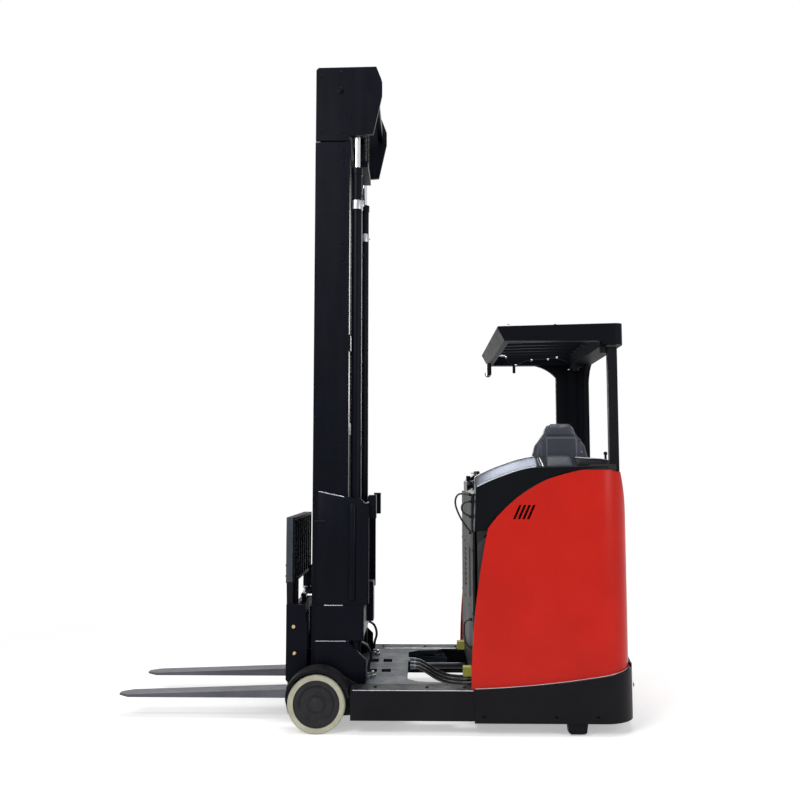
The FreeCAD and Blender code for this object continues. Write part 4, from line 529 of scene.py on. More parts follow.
def make_backrest():
    """Padded back with side bolsters, seen from behind, and its map pocket."""
    lo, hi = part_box("seat_backrest")
    mid = (lo.x + hi.x) / 2
    top = hi.z - 0.004
    shape = ((0.166, 0.612), (0.168, 0.196), (0.152, 0.132), (0.126, 0.096), (0.102, 0.061),
             (0.084, 0.026), (0.07, 0.006), (0.05, 0.0))
    outline = [(mid + half, top - drop) for half, drop in shape]
    outline += [(2 * mid - x, z) for x, z in reversed(outline)]
    bm = bmesh.new()
    slab(bm, outline, "y", lo.y + PAD_INSET, hi.y - PAD_INSET, 0.016)
    back = smoothed(blown("backrest_pad", bm))
    band = hi.z - 0.088
    seams = [((mid - 0.102, lo.z), (mid - 0.102, band - 0.03)),
             ((mid + 0.108, lo.z), (mid + 0.108, band - 0.03)),
             ((mid - 0.102, band - 0.03), (mid - 0.058, hi.z - 0.01)),
             ((mid + 0.108, band - 0.03), (mid + 0.062, hi.z - 0.01)),
             ((mid - 0.078, band), (mid + 0.082, band))]
    for a, b in seams:
        press(back, SEAM_DEPTH, SEAM_WIDTH, segment_gap(a, b))
    finish_pad(back, "seat_backrest")
    left, right, foot, head = mid - 0.079, mid + 0.09, hi.z - 0.204, hi.z - 0.097
    face = lo.y + 0.001
    bm = bmesh.new()
    slab(bm, rounded(left, right, foot, head, 0.012), "y", lo.y + 0.014, face, 0.005)
    piece("backrest_pocket", bm, "seat_fabric")
    hem = [(left + 0.002, face, foot), (left + 0.002, face - 0.001, head - 0.004),
           (left + 0.006, face - 0.001, head - 0.001), (mid, face - 0.0015, head),
           (right - 0.006, face - 0.001, head - 0.001), (right - 0.002, face - 0.001, head - 0.004),
           (right - 0.002, face, foot)]
    # Real piping, its lighter colour a painted highlight.
    lead("backrest_piping", [hem], 0.0024, "piping")
    bm = bmesh.new()
    button(bm, (mid + 0.118, lo.y + 0.005, hi.z - 0.176), "-y", 0.007, 0.004)
    piece("backrest_stud", bm, "piping")


def finish_pad(thing, node):
    """Puts the pad on the chassis in its node's place."""
    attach(thing, "chassis")
    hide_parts(node)


def line_gap(axis, at, low, high):
    """Distance, seen from above, from a line along the other level axis."""
    def gap(spot):
        across, along = (spot.x, spot.y) if axis == "x" else (spot.y, spot.x)
        return math.hypot(across - at, max(low - along, along - high, 0.0))
    return gap


def make_cushion():
    """Padded cushion with two bolsters and sewn channels, its front edge towards +Y."""
    lo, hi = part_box("seat_cushion")
    inset = PAD_INSET
    outline = [(lo.y + inset, lo.z + inset), (lo.y + inset, hi.z - inset - 0.012),
               (lo.y + inset + 0.014, hi.z - inset), (hi.y - 0.05, hi.z - inset),
               (hi.y - inset - 0.004, hi.z - 0.046), (hi.y - 0.022, lo.z + inset)]
    bm = bmesh.new()
    slab(bm, outline, "x", lo.x + inset, hi.x - inset, 0.014)
    cushion = smoothed(blown("seat_pad", bm))
    for x in (lo.x + 0.062, hi.x - 0.062):
        press(cushion, 0.007, 0.0045, line_gap("x", x, lo.y, hi.y))
    for share in (0.3, 0.52, 0.74):
        y = lo.y + share * (hi.y - lo.y)
        press(cushion, 0.005, 0.004, line_gap("y", y, lo.x + 0.062, hi.x - 0.062))
    finish_pad(cushion, "seat_cushion")


make_backrest()
make_cushion()


# ---------------------------------------------------------------- side cover
EDGE_LINE = ((0.545, 1.288), (0.718, 1.365), (0.88, 1.411), (1.06, 1.416), (1.296, 1.417))
SHOULDER_LINE = ((0.569, 1.362), (0.718, 1.428), (0.88, 1.472), (1.06, 1.472), (1.298, 1.454))


COVER_BACK = -0.468         # inner edge of the cover's flat top
SLOPE_RUN, SLOPE_RISE = 0.68, 0.733
BOW, BOW_END = 0.0048, 0.9  # the lines' spans bulge by this much, up to this x


def height_on(line, x):
    """Height of a side-view line at x, run smoothly through its points."""
    for (x0, z0), (x1, z1) in zip(line, line[1:]):
        if x <= x1:
            share = (x - x0) / (x1 - x0)
            bow = BOW * math.sin(math.pi * share) if x1 < BOW_END else 0.0
            return z0 + share * (z1 - z0) + bow
    return line[-1][1]


def shoulder_strip(name, start, end, count, look, lift, tilt=0.0):
    """Soft strip that lies over the cover's leaning shoulder and its flat top."""
    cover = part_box("side_cover_left")[0].y
    stations = [start + (end - start) * k / count for k in range(count + 1)]
    bm = bmesh.new()
    rings = []
    for x in stations:
        low, top = height_on(EDGE_LINE, x), height_on(SHOULDER_LINE, x)
        run = (top - low) * SLOPE_RUN / SLOPE_RISE
        ease = lift * min(1.0, 100 * min(x - start, end - x) + 0.25)
        section = [(cover + 0.004, low + 0.004), (cover + 0.002, low + 0.008),
                   (cover + run * 0.5 - ease * 0.7, low + (top - low) * 0.5 + ease * 0.7),
                   (cover + run - ease * 0.4, top + ease), (cover + run + 0.02, top + ease * 1.1),
                   (COVER_BACK, top + ease), (COVER_BACK + 0.002, top - 0.004),
                   (cover + run + 0.004, top - 0.004), (cover + 0.008, low)]
        rings.append([bm.verts.new((x + tilt * (z - low), y, z)) for y, z in section])
    for a, b in zip(rings, rings[1:]):
        for step in range(len(a)):
            ahead = (step + 1) % len(a)
            bm.faces.new((a[step], b[step], b[ahead], a[ahead]))
    bm.faces.new(rings[0])
    bm.faces.new(list(reversed(rings[-1])))
    return subdivided(piece(name, bm, look, sharp=70), 2)


def make_shoulder():
    """Fairing in silver grey that partly paints the highlight on the glossy dark cover, the joint
    behind it, painted highlight lines, and the two dark pads further back.
    """
    # The fairing's silver grey is partly a painted highlight on the glossy dark cover.
    shoulder_strip("shoulder_fairing", 0.56, 0.912, 14, "silver", 0.003)
    shoulder_strip("shoulder_gap", 0.916, 0.928, 3, "hose_rubber", 0.002, tilt=-0.28)
    # A painted highlight line behind the joint.
    shoulder_strip("shoulder_joint_highlight", 0.931, 0.94, 3, "line", 0.004, tilt=-0.28)
    pad = shoulder_strip("shoulder_pad_front", 0.952, 1.098, 8, "seat_fabric", 0.006)
    shoulder_strip("shoulder_pad_rear", 1.106, 1.286, 8, "black_cover", 0.006)
    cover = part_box("side_cover_left")[0].y
    # Bright lines along the cover's lower edge and along the rear pad's top are painted highlights.
    rim = [(x, cover + 0.003, height_on(EDGE_LINE, x) + 0.006)
           for x in (0.575 + 0.0265 * step for step in range(13))]
    lead("shoulder_highlight_line", [rim], 0.0034, "line")
    rim = [(x, cover + 0.04, height_on(SHOULDER_LINE, x) + 0.001)
           for x in (1.115 + 0.033 * step for step in range(6))]
    lead("shoulder_rear_highlight_line", [rim], 0.003, "line")
    bm = bmesh.new()
    gap = [(0.57, 1.00), (0.64, 1.07), (0.75, 1.17), (0.95, 1.3), (1.082, 1.345),
           (1.29, 1.368), (1.3, 1.385), (1.33, 1.4), (1.33, 1.432), (1.2, 1.432),
           (1.082, 1.386), (0.95, 1.352), (0.75, 1.25), (0.64, 1.15), (0.57, 1.1)]
    slab(bm, gap, "y", cover + 0.002, cover + 0.008, 0.001)
    piece("cover_seal", bm, "rubber")


make_shoulder()


# ---------------------------------------------------------------- mast and fork carriage
def make_cradle():
    """Layered plates, pressed rib and painted highlights along edges on the cradle's two sides."""
    for side, name, axis, y in both_sides("mast_cradle"):
        bm = bmesh.new()
        plates = (
            ([(-0.32, 0.655), (-0.032, 0.655), (-0.032, 1.186), (-0.068, 1.224),
              (-0.3, 1.274), (-0.316, 1.264)], 0.004),
            ([(-0.322, 0.455), (-0.06, 0.455), (-0.06, 0.643), (-0.322, 0.643)], 0.006),
            ([(-0.322, 0.104), (-0.046, 0.104), (-0.046, 0.34), (-0.15, 0.445),
              (-0.322, 0.445)], 0.003))
        for outline, thick in plates:
            slab(bm, outline, "y", y - side * 0.001, y + side * thick, 0.0016)
        for x, z in ((-0.3, 0.69), (-0.06, 0.69), (-0.3, 0.92), (-0.06, 1.16),
                     (-0.29, 0.13), (-0.08, 0.13)):
            bolt(bm, (x, y + side * 0.003, z), axis, 0.013)
        piece("cradle_plates_" + name, bm, "mast_black", "mast_reach")
        bm = bmesh.new()
        lathe(bm, (-0.118, y - side * 0.006, 0.664), "z",
              [(0, 0), (0.012, 0.001), (0.02, 0.006), (0.024, 0.016), (0.024, 0.53),
               (0.018, 0.545), (0, 0.55)], 24)
        piece("cradle_rib_" + name, bm, "mast_black", "mast_reach")
        edge = y + side * 0.0052
        # Bright lines along the plates' edges are painted highlights.
        lines = [[(-0.31, edge - side * 0.002, 1.2795), (-0.165, edge - side * 0.002, 1.2485)],
                 [(-0.275, edge, 0.6445), (-0.17, edge, 0.6445)],
                 [(-0.322, edge - side * 0.002, 0.4475), (-0.152, edge - side * 0.002, 0.4475)]]
        lead("cradle_edge_highlights_" + name, lines, 0.0024, "line", "mast_reach")
        lead("cradle_pin_" + name, [[(-0.335, edge, 1.112), (-0.27, edge, 1.112)]], 0.0045,
             "frame_black", "mast_reach")


CLIP_HEIGHTS = (0.62, 1.02, 1.55, 1.98, 2.4, 2.82)
TIE_BOLT_HEIGHTS = (1.46, 1.56, 2.62, 2.72, 3.2, 3.28)


def make_mast_fittings():
    """Barrel clamps, pipe clips, tie bolts and the pulley axles' nuts."""
    for side, name in ((-1, "left"), (1, "right")):
        at = (-0.104, side * 0.36, 2.925)
        bm = bmesh.new()
        lathe(bm, at, "z", [(0.0301, 0), (0.034, 0.001), (0.0345, 0.004), (0.0345, 0.05),
                            (0.034, 0.054), (0.0301, 0.055)], 32)
        bolt(bm, (-0.0705, side * 0.36, 2.952), "x", 0.012)
        piece("barrel_clamp_" + name, bm, "steel_bright", "mast_reach")
    bm = bmesh.new()
    for z in CLIP_HEIGHTS:
        slab(bm, rounded(0.277, 0.327, z - 0.01, z + 0.01, 0.004), "x", -0.1135, -0.1085, 0.001)
        bolt(bm, (-0.1085, 0.302, z), "x", 0.008)
    piece("pipe_clips", bm, "frame_black", "mast_reach")
    bm = bmesh.new()
    for side, name, axis, face in both_sides("outer_mast"):
        for z in TIE_BOLT_HEIGHTS:
            bolt(bm, (-0.185, face, z), axis, 0.012)
    piece("mast_bolts", bm, "mast_black", "mast_reach")
    bm = bmesh.new()
    for side, name, axis, face in both_sides("mast_head"):
        bolt(bm, (-0.2, face, 3.64), axis, 0.026)
        for x, z in ((-0.32, 3.39), (-0.32, 3.73), (-0.19, 3.39), (-0.2, 3.75)):
            button(bm, (x, face, z), axis, 0.007, 0.003)
    piece("head_bolts", bm, "mast_black", "mast_middle")


def make_carriage_fittings():
    """Brass caps, fork latches and guard bolts that shift with the forks."""
    bm = bmesh.new()
    for side, name, axis, face in both_sides("fork_carriage"):
        for x, z in ((-0.447, 0.524), (-0.44, 0.378)):
            button(bm, (x, face - side * 0.003, z), axis, 0.0105, 0.006)
    piece("carriage_caps", bm, "brass", "side_shifter")
    bm = bmesh.new()
    for y in (-0.27, 0.27):
        lathe(bm, (-0.471, y, 0.621), "z", [(0.011, 0), (0.011, 0.016), (0.008, 0.022),
                                            (0.008, 0.03), (0.015, 0.034), (0.015, 0.041),
                                            (0.011, 0.045), (0, 0.045)], 20)
        slab(bm, rounded(y - 0.006, y + 0.045, 0.644, 0.653, 0.003), "x", -0.476, -0.466, 0.001)
    piece("fork_latches", bm, "steel_bright", "side_shifter")
    bm = bmesh.new()
    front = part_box("load_backrest")[0].x
    for y in (-0.37, -0.35, 0.35, 0.37):
        for z in (0.8, 0.86):
            bolt(bm, (front, y, z), "-x", 0.01)
    for side, name, axis, y in both_sides("load_backrest"):
        foot = [(-0.492, 0.8), (-0.456, 0.8), (-0.454, 0.596), (-0.488, 0.596)]
        slab(bm, foot, "y", y - side * 0.01, y + side * 0.001, 0.001)
    piece("guard_bolts", bm, "frame_black", "side_shifter")
    bm = bmesh.new()
    for side, name, axis, y in both_sides("load_backrest"):
        slab(bm, rounded(front + 0.001, front + 0.036, 0.77, 1.13, 0.004), "y",
             y - side * 0.002, y + side * 0.0015, 0.001)
    piece("guard_post_faces", bm, "post", "side_shifter")


make_cradle()
make_mast_fittings()
make_carriage_fittings()


# ---------------------------------------------------------------- chassis
def make_wheel_details():
    """Rim band, hub cap and wheel bolts on both load wheels, and drive wheel bolts."""
    for index, node in enumerate(("load_hub_left", "load_hub_right")):
        low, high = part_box(node)
        x, z = (low.x + high.x) / 2, (low.z + high.z) / 2
        side, name, axis, face = both_sides(node)[index]
        bm = bmesh.new()
        lathe(bm, (x, face - side * 0.003, z), axis,
              [(0.099, 0), (0.1, 0.0035), (0.104, 0.0045), (0.1205, 0.0045),
               (0.1235, 0.003), (0.1245, 0)], 64)
        lathe(bm, (x, face - side * 0.004, z), axis,
              [(0.031, 0), (0.031, 0.003), (0.026, 0.006), (0.012, 0.0065), (0.01, 0.0075),
               (0, 0.0075)], 32)
        lathe(bm, (x, face - side * 0.012, z), axis,
              [(0.046, 0), (0.048, 0.003), (0.052, 0.003), (0.054, 0)], 48)
        for u, v in ring_of(5, 0.07, x, z):
            bolt(bm, (u, face - side * 0.012, v), axis, 0.013)
        piece("wheel_face_" + name, bm, "wheel_hub", "load_wheel_" + name)
    low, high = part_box("drive_hub")
    x, z = (low.x + high.x) / 2, (low.z + high.z) / 2
    bm = bmesh.new()
    for u, v in ring_of(8, 0.098, x, z, 22.5):
        bolt(bm, (u, low.y + 0.002, v), "-y", 0.016)
    piece("drive_bolts", bm, "steel_bright", "drive_wheel")


LEG_TOP = 0.232
DECK_PORT = -0.03
HOSE_FIT = 0.0113           # bore of a sleeve round a hose
RED_EDGE = {0.55: 0.236, 0.973: 0.268, 1.406: 0.334}


def arc_height(x):
    """Height of the red panels' lower edge, on a parabola through RED_EDGE."""
    return sum(z * math.prod((x - x1) / (x0 - x1) for x1 in RED_EDGE if x1 != x0)
               for x0, z in RED_EDGE.items())


def make_chassis_lines():
    """Painted highlight lines along the legs' edges and under the red panels."""
    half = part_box("straddle_leg_left")[0].y
    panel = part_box("side_panel_left")[0].y
    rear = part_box("rear_panel")[1].x
    # Bright lines along the legs' top edges and the red panels' lower lip are painted highlights.
    rails = [[(x, y, LEG_TOP + 0.0015) for x in (0.03, 0.5)] for y in (0.478, 0.4955)]
    lead("rail_edge_highlights", rails, 0.0022, "line")
    for side, name in ((1, "left"), (-1, "right")):
        leg = [(x, side * (half + 0.0015), LEG_TOP - 0.0002) for x in (-0.098, 0.545)]
        lead("leg_edge_highlight_" + name, [leg], 0.0019, "line")
        route = [(x, side * (panel - 0.0005), arc_height(x) + 0.002)
                 for x in (0.556 + 0.075 * step for step in range(10))]
        for step in range(7):
            angle = math.radians(15 * step)
            x = rear - 0.17 + 0.1705 * math.sin(angle)
            y = panel + 0.17 - 0.1705 * math.cos(angle)
            route.append((x, side * y, arc_height(x) + 0.002))
        lead("panel_edge_highlight_" + name, [route], 0.0022, "line")
    bm = bmesh.new()
    for side, axis in ((-1, "-y"), (1, "y")):
        for x in (0.6, 0.98, 1.2):
            button(bm, (x, side * 0.6395, 0.1), axis, 0.01, 0.0005)
        for x, y in ((-0.085, 0.545), (-0.085, 0.6), (0.02, 0.56), (0.3, 0.56), (0.5, 0.56)):
            bolt(bm, (x, side * y, LEG_TOP), "z", 0.013)
    piece("chassis_bolts", bm, "frame_black")


def make_hose_ends():
    """Sleeves on the three hoses' ends, and the leads from the deck to the lift barrels."""
    deck, body = bmesh.new(), bmesh.new()
    sleeve = [(HOSE_FIT, 0), (0.0145, 0.001), (0.0145, 0.01), (0.0128, 0.013),
              (0.0128, 0.034), (HOSE_FIT, 0.036)]
    cap = [(HOSE_FIT, 0), (0.0155, 0.001), (0.0155, 0.007), (HOSE_FIT, 0.01)]
    low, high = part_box("reach_hoses")
    for step in range(3):
        y = 0.12 + 0.04 * step
        lathe(deck, (low.x + 0.0005, y, 0.193 + 0.013 * step), "x", sleeve, 20)
        lathe(body, (0.69, y, high.z - 0.0005), "-z", cap, 20)
    piece("hose_sleeves_deck", deck, "silver", "mast_reach")
    piece("hose_sleeves_body", body, "silver")
    bm = bmesh.new()
    for x, y in ((DECK_PORT, -0.33), (-0.006, -0.3), (DECK_PORT, 0.33), (-0.006, 0.3)):
        lathe(bm, (x, y, LEG_TOP - 0.0005), "z", [(0.016, 0), (0.016, 0.01), (0.011, 0.012),
                                                  (0.011, 0.026), (0.007, 0.03), (0, 0.03)], 6)
    piece("deck_unions", bm, "steel_bright", "mast_reach")
    for side, name in ((-1, "left"), (1, "right")):
        loop = [(DECK_PORT, side * 0.33, 0.258), (DECK_PORT, side * 0.33, 0.3),
                (-0.012, side * 0.334, 0.345), (-0.018, side * 0.345, 0.385),
                (-0.038, side * 0.352, 0.42), (-0.07, side * 0.36, 0.43)]
        lead("barrel_feed_" + name, [loop], 0.008, "hose_rubber", "mast_reach")


def make_front_cables():
    """Loops of cable on the front panel, held at both ends."""
    y, face = -0.435, 0.5495
    big = [(face, y, 1.262), (0.52, y, 1.266), (0.48, y, 1.268), (0.462, y, 1.24),
           (0.462, y, 1.2), (0.486, y, 1.14), (0.52, y, 1.085), (face, y, 1.05)]
    small = [(x, y - 0.016, z) for x, z in ((face, 1.224), (0.522, 1.226), (0.498, 1.206),
                                            (0.496, 1.176), (0.518, 1.15), (face, 1.14))]
    low = [(face, y, 0.572), (0.528, y, 0.572), (0.508, y, 0.556), (0.507, y, 0.51),
           (0.51, y, 0.462), (0.526, y, 0.422), (face, y, 0.42)]
    cables = lead("front_leads", [big, small, low], 0.0055, "hose_rubber")
    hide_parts("front_cables")
    bm = bmesh.new()
    for route in (big, small, low):
        for x, y, z in (route[0], route[-1]):
            lathe(bm, (x + 0.001, y, z), "-x", [(0.0085, 0), (0.0085, 0.01), (0.006, 0.014),
                                                (0.0056, 0.014)], 18)
    piece("cable_glands", bm, "rubber")


make_wheel_details()
make_chassis_lines()
make_hose_ends()
make_front_cables()


# ---------------------------------------------------------------- body panels
DOOR_HALF, DOOR_LOW, DOOR_HIGH, DOOR_RIM = 0.395, 0.4, 1.03, 0.012
CAB_FLOOR = 0.5
HARNESS_Y = 0.52
POD_TOP = 1.38


def make_rear_panel():
    """Door with a pressed frame, louvres, hinges, lock and two reflectors."""
    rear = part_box("rear_panel")[1].x
    bm = bmesh.new()
    for row in range(7):
        z = 0.56 + 0.034 * row
        blade = [(rear - 0.001, z), (rear + 0.007, z + 0.002), (rear + 0.0075, z + 0.006),
                 (rear - 0.001, z + 0.018)]
        slab(bm, blade, "y", -0.17, 0.17, 0.001)
    piece("rear_louvres", bm, "red_paint")
    bm = bmesh.new()
    outer = rounded(-DOOR_HALF, DOOR_HALF, DOOR_LOW, DOOR_HIGH, 0.04)
    inner = rounded(DOOR_RIM - DOOR_HALF, DOOR_HALF - DOOR_RIM, DOOR_LOW + DOOR_RIM,
                    DOOR_HIGH - DOOR_RIM, 0.03)
    for x in (rear - 0.001, rear + 0.003):
        for u, v in outer + inner:
            bm.verts.new((x, u, v))
    bm.verts.ensure_lookup_table()
    count = len(outer)
    for step in range(count):
        ahead = (step + 1) % count
        for a, b in ((2, 3), (0, 2), (1, 3)):
            spots = (a * count + step, a * count + ahead, b * count + ahead, b * count + step)
            bm.faces.new([bm.verts[k] for k in spots])
    piece("rear_frame", bm, "red_paint")
    bm = bmesh.new()
    for z in (0.5, 0.94):
        lathe(bm, (rear + 0.006, 0.422, z), "z", [(0, 0), (0.007, 0.001), (0.0075, 0.004),
                                                  (0.0075, 0.066), (0.007, 0.069), (0, 0.07)], 20)
        slab(bm, rounded(0.372, 0.42, z + 0.004, z + 0.066, 0.006), "x", rear - 0.001,
             rear + 0.004, 0.001)
        for step in (0.018, 0.052):
            button(bm, (rear + 0.004, 0.392, z + step), "x", 0.006, 0.003)
    slab(bm, rounded(-0.372, -0.332, 0.69, 0.8, 0.01), "x", rear - 0.001, rear + 0.007, 0.002)
    slab(bm, rounded(-0.362, -0.342, 0.706, 0.764, 0.008), "x", rear + 0.006, rear + 0.018, 0.003)
    lathe(bm, (rear + 0.006, -0.352, 0.782), "x", [(0.009, 0), (0.009, 0.004), (0.007, 0.006),
                                                   (0, 0.006)], 20)
    piece("rear_hinges", bm, "black_cover")
    bm = bmesh.new()
    for y in (-0.3, 0.3):
        slab(bm, rounded(y - 0.045, y + 0.045, 0.44, 0.476, 0.006), "x", rear - 0.001,
             rear + 0.006, 0.002)
    piece("rear_reflectors", bm, "lens")
    bm = bmesh.new()
    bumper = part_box("chassis_skirt")[1].x
    for y in (-0.36, -0.12, 0.12, 0.36):
        button(bm, (bumper - 0.0006, y, 0.205), "x", 0.012, 0.0006)
    lathe(bm, (bumper - 0.03, 0.0, 0.349), "z", [(0.03, 0), (0.03, 0.006), (0.022, 0.01),
                                                  (0.022, 0.052), (0.03, 0.056), (0.03, 0.064),
                                                  (0.024, 0.068), (0, 0.068)], 32)
    piece("rear_pin", bm, "frame_black")


def make_right_side():
    """Grab rail, floor mat and step plate at the entry, and the front panel's louvres."""
    rail = [(1.215, y, z) for y, z in (
        (0.575, 1.44), (0.6, 1.44), (0.612, 1.452), (0.612, 1.48), (0.612, 1.64),
        (0.612, 1.8), (0.612, 1.828), (0.6, 1.84), (0.575, 1.84))]
    lead("grab_rail", [rail], 0.0105, "rubber")
    bm = bmesh.new()
    slab(bm, rounded(0.88, 1.32, 0.108, 0.588, 0.015), "z", CAB_FLOOR + 0.0002,
         CAB_FLOOR + 0.0042, 0.001)
    for row in range(21):
        x = 0.9 + 0.02 * row
        slab(bm, [(x + u, CAB_FLOOR + v) for u, v in ((-0.004, 0.0035), (0.004, 0.0035),
                                                      (0.0025, 0.0068), (-0.0025, 0.0068))],
             "y", 0.12, 0.576, 0)
    piece("floor_mat", bm, "rubber")
    bm = bmesh.new()
    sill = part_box("side_panel_right")[1].y
    slab(bm, rounded(0.938, 1.146, 0.592, sill + 0.004, 0.003), "z", CAB_FLOOR - 0.0005,
         CAB_FLOOR + 0.0035, 0.001)
    for row in range(10):
        x = 0.95 + 0.021 * row
        slab(bm, rounded(x - 0.003, x + 0.003, 0.596, sill, 0.002), "z", CAB_FLOOR + 0.003,
             CAB_FLOOR + 0.0055, 0.0006)
    piece("step_plate", bm, "steel_bright")
    bm = bmesh.new()
    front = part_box("front_panel")[0].x
    for z in (0.28, 0.62, 0.96):
        for y in (-0.53, -0.2, 0.2, 0.53):
            button(bm, (front, y, z), "-x", 0.007, 0.003)
    piece("panel_screws", bm, "frame_black")
    bm = bmesh.new()
    for row in range(8):
        z = 0.7 + 0.03 * row
        blade = [(front + 0.001, z), (front - 0.006, z + 0.002), (front - 0.0065, z + 0.006),
                 (front + 0.001, z + 0.016)]
        slab(bm, blade, "y", 0.06, 0.33, 0.001)
    slab(bm, rounded(-0.33, -0.03, 0.68, 0.96, 0.02), "x", front - 0.004, front + 0.001, 0.001)
    piece("front_louvres", bm, "panel_grey")


def make_roof_details():
    """Harness, lamp and brackets under the roof, and the posts' plates and bolts."""
    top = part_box("overhead_guard")[1].z
    harness = [(x, HARNESS_Y, z) for x, z in (
        (0.79, 2.186), (0.84, 2.17), (0.88, 2.12), (0.914, 2.108), (0.955, 2.128),
        (1.017, 2.15), (1.1, 2.15), (1.186, 2.168), (1.27, 2.13))]
    lead("roof_harness", [harness], 0.005, "frame_black")
    bm = bmesh.new()
    for x, z in ((0.845, 2.168), (0.912, 2.112), (1.02, 2.148), (1.13, 2.152), (1.19, 2.164)):
        lathe(bm, (x, HARNESS_Y, z), "x", [(0.0052, 0), (0.009, 0.001), (0.009, 0.013),
                                           (0.0052, 0.014)], 16)
    lathe(bm, (0.8, 0.5, 2.176), "x", [(0.006, 0), (0.007, 0.001), (0.007, 0.044),
                                           (0.006, 0.045)], 16)
    # Real clips, given the bright grey of painted glints.
    piece("harness_clips", bm, "line")
    bm = bmesh.new()
    lathe(bm, (0.908, 0.53, 2.06), "z", [(0, 0), (0.009, 0.001), (0.01, 0.006),
                                           (0.01, 0.115), (0, 0.12)], 20)
    slab(bm, rounded(0.716, 0.742, 2.03, 2.112, 0.008), "y", 0.38, 0.47, 0.003)
    for x, y in ((1.3, -0.52), (1.3, 0.3)):
        slab(bm, rounded(x - 0.03, x + 0.006, 2.05, 2.112, 0.004), "y", y - 0.01, y + 0.01,
             0.001)
    piece("roof_brackets", bm, "frame_black")
    bm = bmesh.new()
    slab(bm, rounded(0.386, 0.464, 2.036, 2.106, 0.008), "x", 0.712, 0.7175, 0.002)
    piece("work_lamp_lens", bm, "lamp")
    bm = bmesh.new()
    slab(bm, rounded(1.282, 1.388, 0.452, 0.578, 0.006), "z", 2.0745, 2.0862, 0.001)
    for x in (1.295, 1.375):
        for y in (0.47, 0.56):
            bolt(bm, (x, y, 2.0745), "-z", 0.014)
    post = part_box("guard_post_left")
    x, y = (post[0].x + post[1].x) / 2, (post[0].y + post[1].y) / 2
    lathe(bm, (post[0].x - 0.017, y - 0.018, 1.452), "z",
          [(0.009, 0), (0.007, 0.006), (0.006, 0.028), (0.01, 0.034), (0.011, 0.042),
           (0.007, 0.048), (0, 0.049)], 20)
    for x in (0.76, 1.02, 1.28):
        for side in (-1, 1):
            button(bm, (x, side * 0.545, top - 0.0015), "z", 0.008, 0.001)
    piece("roof_plates", bm, "frame_black")


def make_controls():
    """Armrest pad, lever knobs, pedal rubbers, switches and display on the pod."""
    lo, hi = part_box("control_armrest")
    bm = bmesh.new()
    pad = [(-0.252, 1.232), (-0.236, 1.252), (-0.2, 1.258), (0.05, 1.2745), (0.12, 1.262),
           (0.156, 1.248), (0.16, 1.226), (0.13, 1.23), (0.06, 1.246), (-0.24, 1.226)]
    slab(bm, pad, "x", lo.x - 0.003, hi.x - 0.004, 0.007)
    piece("armrest_pad", bm, "seat_fabric", sharp=60)
    bm = bmesh.new()
    ball = [(0, 0), (0.007, 0.001), (0.011, 0.006), (0.0125, 0.012), (0.011, 0.019),
            (0.007, 0.024), (0, 0.026)]
    for x in (lo.x + 0.024, lo.x + 0.052):
        for y in (0.09, 0.125):
            lathe(bm, (x, y, hi.z - 0.01), "z", ball, 20)
    piece("lever_knobs", bm, "black_cover")
    bm = bmesh.new()
    for x in (0.985, 1.08):
        for step in range(7):
            y, z = 0.43 + 0.0105 * step, 0.5145 + 0.0137 * step
            lathe(bm, (x + 0.004, y - 0.004, z + 0.002), "x",
                  [(0, 0), (0.0034, 0.001), (0.0034, 0.061), (0, 0.062)], 10)
    piece("pedal_rubbers", bm, "rubber")
    bm = bmesh.new()
    slab(bm, rounded(0.605, 0.662, 0.33, 0.48, 0.008), "z", POD_TOP, POD_TOP + 0.0055, 0.002)
    for y in (0.255, 0.29, 0.52, 0.555):
        lathe(bm, (0.64, y, POD_TOP + 0.001), "z", [(0.011, 0), (0.011, 0.006), (0.008, 0.009),
                                                     (0.008, 0.015), (0, 0.016)], 20)
    lathe(bm, (0.574, -0.402, 1.288), "z", [(0.012, 0), (0.012, 0.01), (0.008, 0.014),
                                            (0.008, 0.036), (0.013, 0.041), (0.013, 0.052),
                                            (0, 0.056)], 20)
    piece("pod_switches", bm, "black_cover")
    bm = bmesh.new()
    slab(bm, rounded(0.611, 0.656, 0.338, 0.472, 0.004), "z", POD_TOP + 0.005,
         POD_TOP + 0.0062, 0.0004)
    lathe(bm, (0.602, -0.396, 1.288), "z", [(0.014, 0), (0.014, 0.018), (0.01, 0.024),
                                            (0, 0.026)], 20)
    piece("pod_display", bm, "silver")


make_rear_panel()
make_right_side()
make_roof_details()
make_controls()


# ---------------------------------------------------------------- floor, world and lights
def seen_rays(tree):
    """1 for camera, glossy and transmission rays, 0 for the light that falls on things."""
    path = add(tree, "LightPath").outputs
    seen = add(tree, "Math", {0: path["Is Camera Ray"], 1: path["Is Glossy Ray"]},
               operation="MAXIMUM").outputs[0]
    return add(tree, "Math", {0: seen, 1: path["Is Transmission Ray"]},
               operation="MAXIMUM").outputs[0]


FLOOR_HALF = 30.0
FADE_START, FADE_END = 1.8, 4.2     # the floor turns plain white between these distances
FLOOR_LIFT = 0.42                   # own light of the floor that still shows the shadow
WORLD_FILL = 0.25                   # strength of the world's light on things


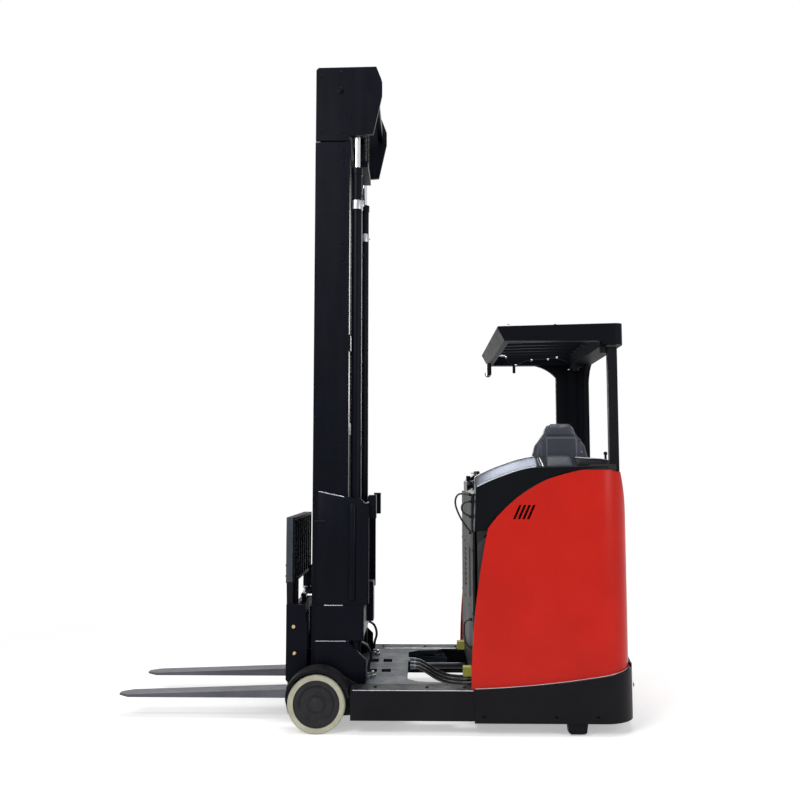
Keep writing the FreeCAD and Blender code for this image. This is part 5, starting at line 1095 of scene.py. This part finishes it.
def make_floor():
    """Pale floor that keeps the truck's shadow."""
    bm = bmesh.new()
    bmesh.ops.create_grid(bm, x_segments=8, y_segments=8, size=FLOOR_HALF)
    mesh = bpy.data.meshes.new("floor")
    bm.to_mesh(mesh)
    bm.free()
    floor = bpy.data.objects.new("floor", mesh)
    scene.collection.objects.link(floor)
    material = bpy.data.materials.new("floor_pale")
    material.use_nodes = True
    tree = material.node_tree
    shader = tree.nodes["Principled BSDF"]
    shader.inputs["Base Color"].default_value = (0.82, 0.82, 0.82, 1)
    shader.inputs["Roughness"].default_value = 0.9
    shader.inputs["Specular IOR Level"].default_value = 0.0
    where = add(tree, "TexCoord").outputs["Object"]
    away = add(tree, "VectorMath", {0: where}, operation="LENGTH").outputs["Value"]
    far = ramp(tree, away, FADE_START, FADE_END)
    seen = seen_rays(tree)
    near = add(tree, "Emission", {"Color": WHITE, "Strength": times(tree, seen, FLOOR_LIFT)})
    lit = add(tree, "AddShader", {0: shader.outputs[0], 1: near.outputs[0]})
    white = add(tree, "Emission", {"Color": WHITE, "Strength": 1.0})
    both = add(tree, "MixShader", {0: times(tree, far, seen), 1: lit.outputs[0],
                                   2: white.outputs[0]})
    tree.links.new(both.outputs[0], tree.nodes["Material Output"].inputs["Surface"])
    mesh.materials.append(material)


def make_world():
    """White behind the truck, a dimmer white as fill light."""
    world = bpy.data.worlds.new("studio")
    scene.world = world
    world.use_nodes = True
    tree = world.node_tree
    seen = seen_rays(tree)
    strength = plus(tree, times(tree, seen, 1 - WORLD_FILL), WORLD_FILL)
    tree.links.new(strength, tree.nodes["Background"].inputs["Strength"])
    tree.nodes["Background"].inputs["Color"].default_value = WHITE


def make_lamp(name, place, target, size, power):
    """Soft lamp at a place, turned to its target."""
    data = bpy.data.lights.new(name, "AREA")
    data.shape = "RECTANGLE"
    data.size, data.size_y = size
    data.energy = power
    lamp = bpy.data.objects.new(name, data)
    lamp.location = place
    aim = Vector(target) - Vector(place)
    lamp.rotation_euler = aim.to_track_quat("-Z", "Y").to_euler()
    scene.collection.objects.link(lamp)


# Name, place, target, size in metres and power in watts.
LAMPS = (
    ("key", (-2.6, -4.6, 4.6), (0.2, 0, 1.3), (2.6, 2.6), 190),
    ("fill", (4.4, -3.6, 2.6), (0.5, 0, 1.2), (2.0, 3.0), 80),
    ("top", (0.5, -0.5, 6.0), (0.5, -0.3, 0), (3.2, 1.4), 150),
    ("back", (1.2, 4.8, 3.2), (0.2, 0, 1.2), (3.0, 2.6), 90),
)
make_floor()
make_world()
for lamp_row in LAMPS:
    make_lamp(*lamp_row)
scene.view_settings.view_transform = "Standard"
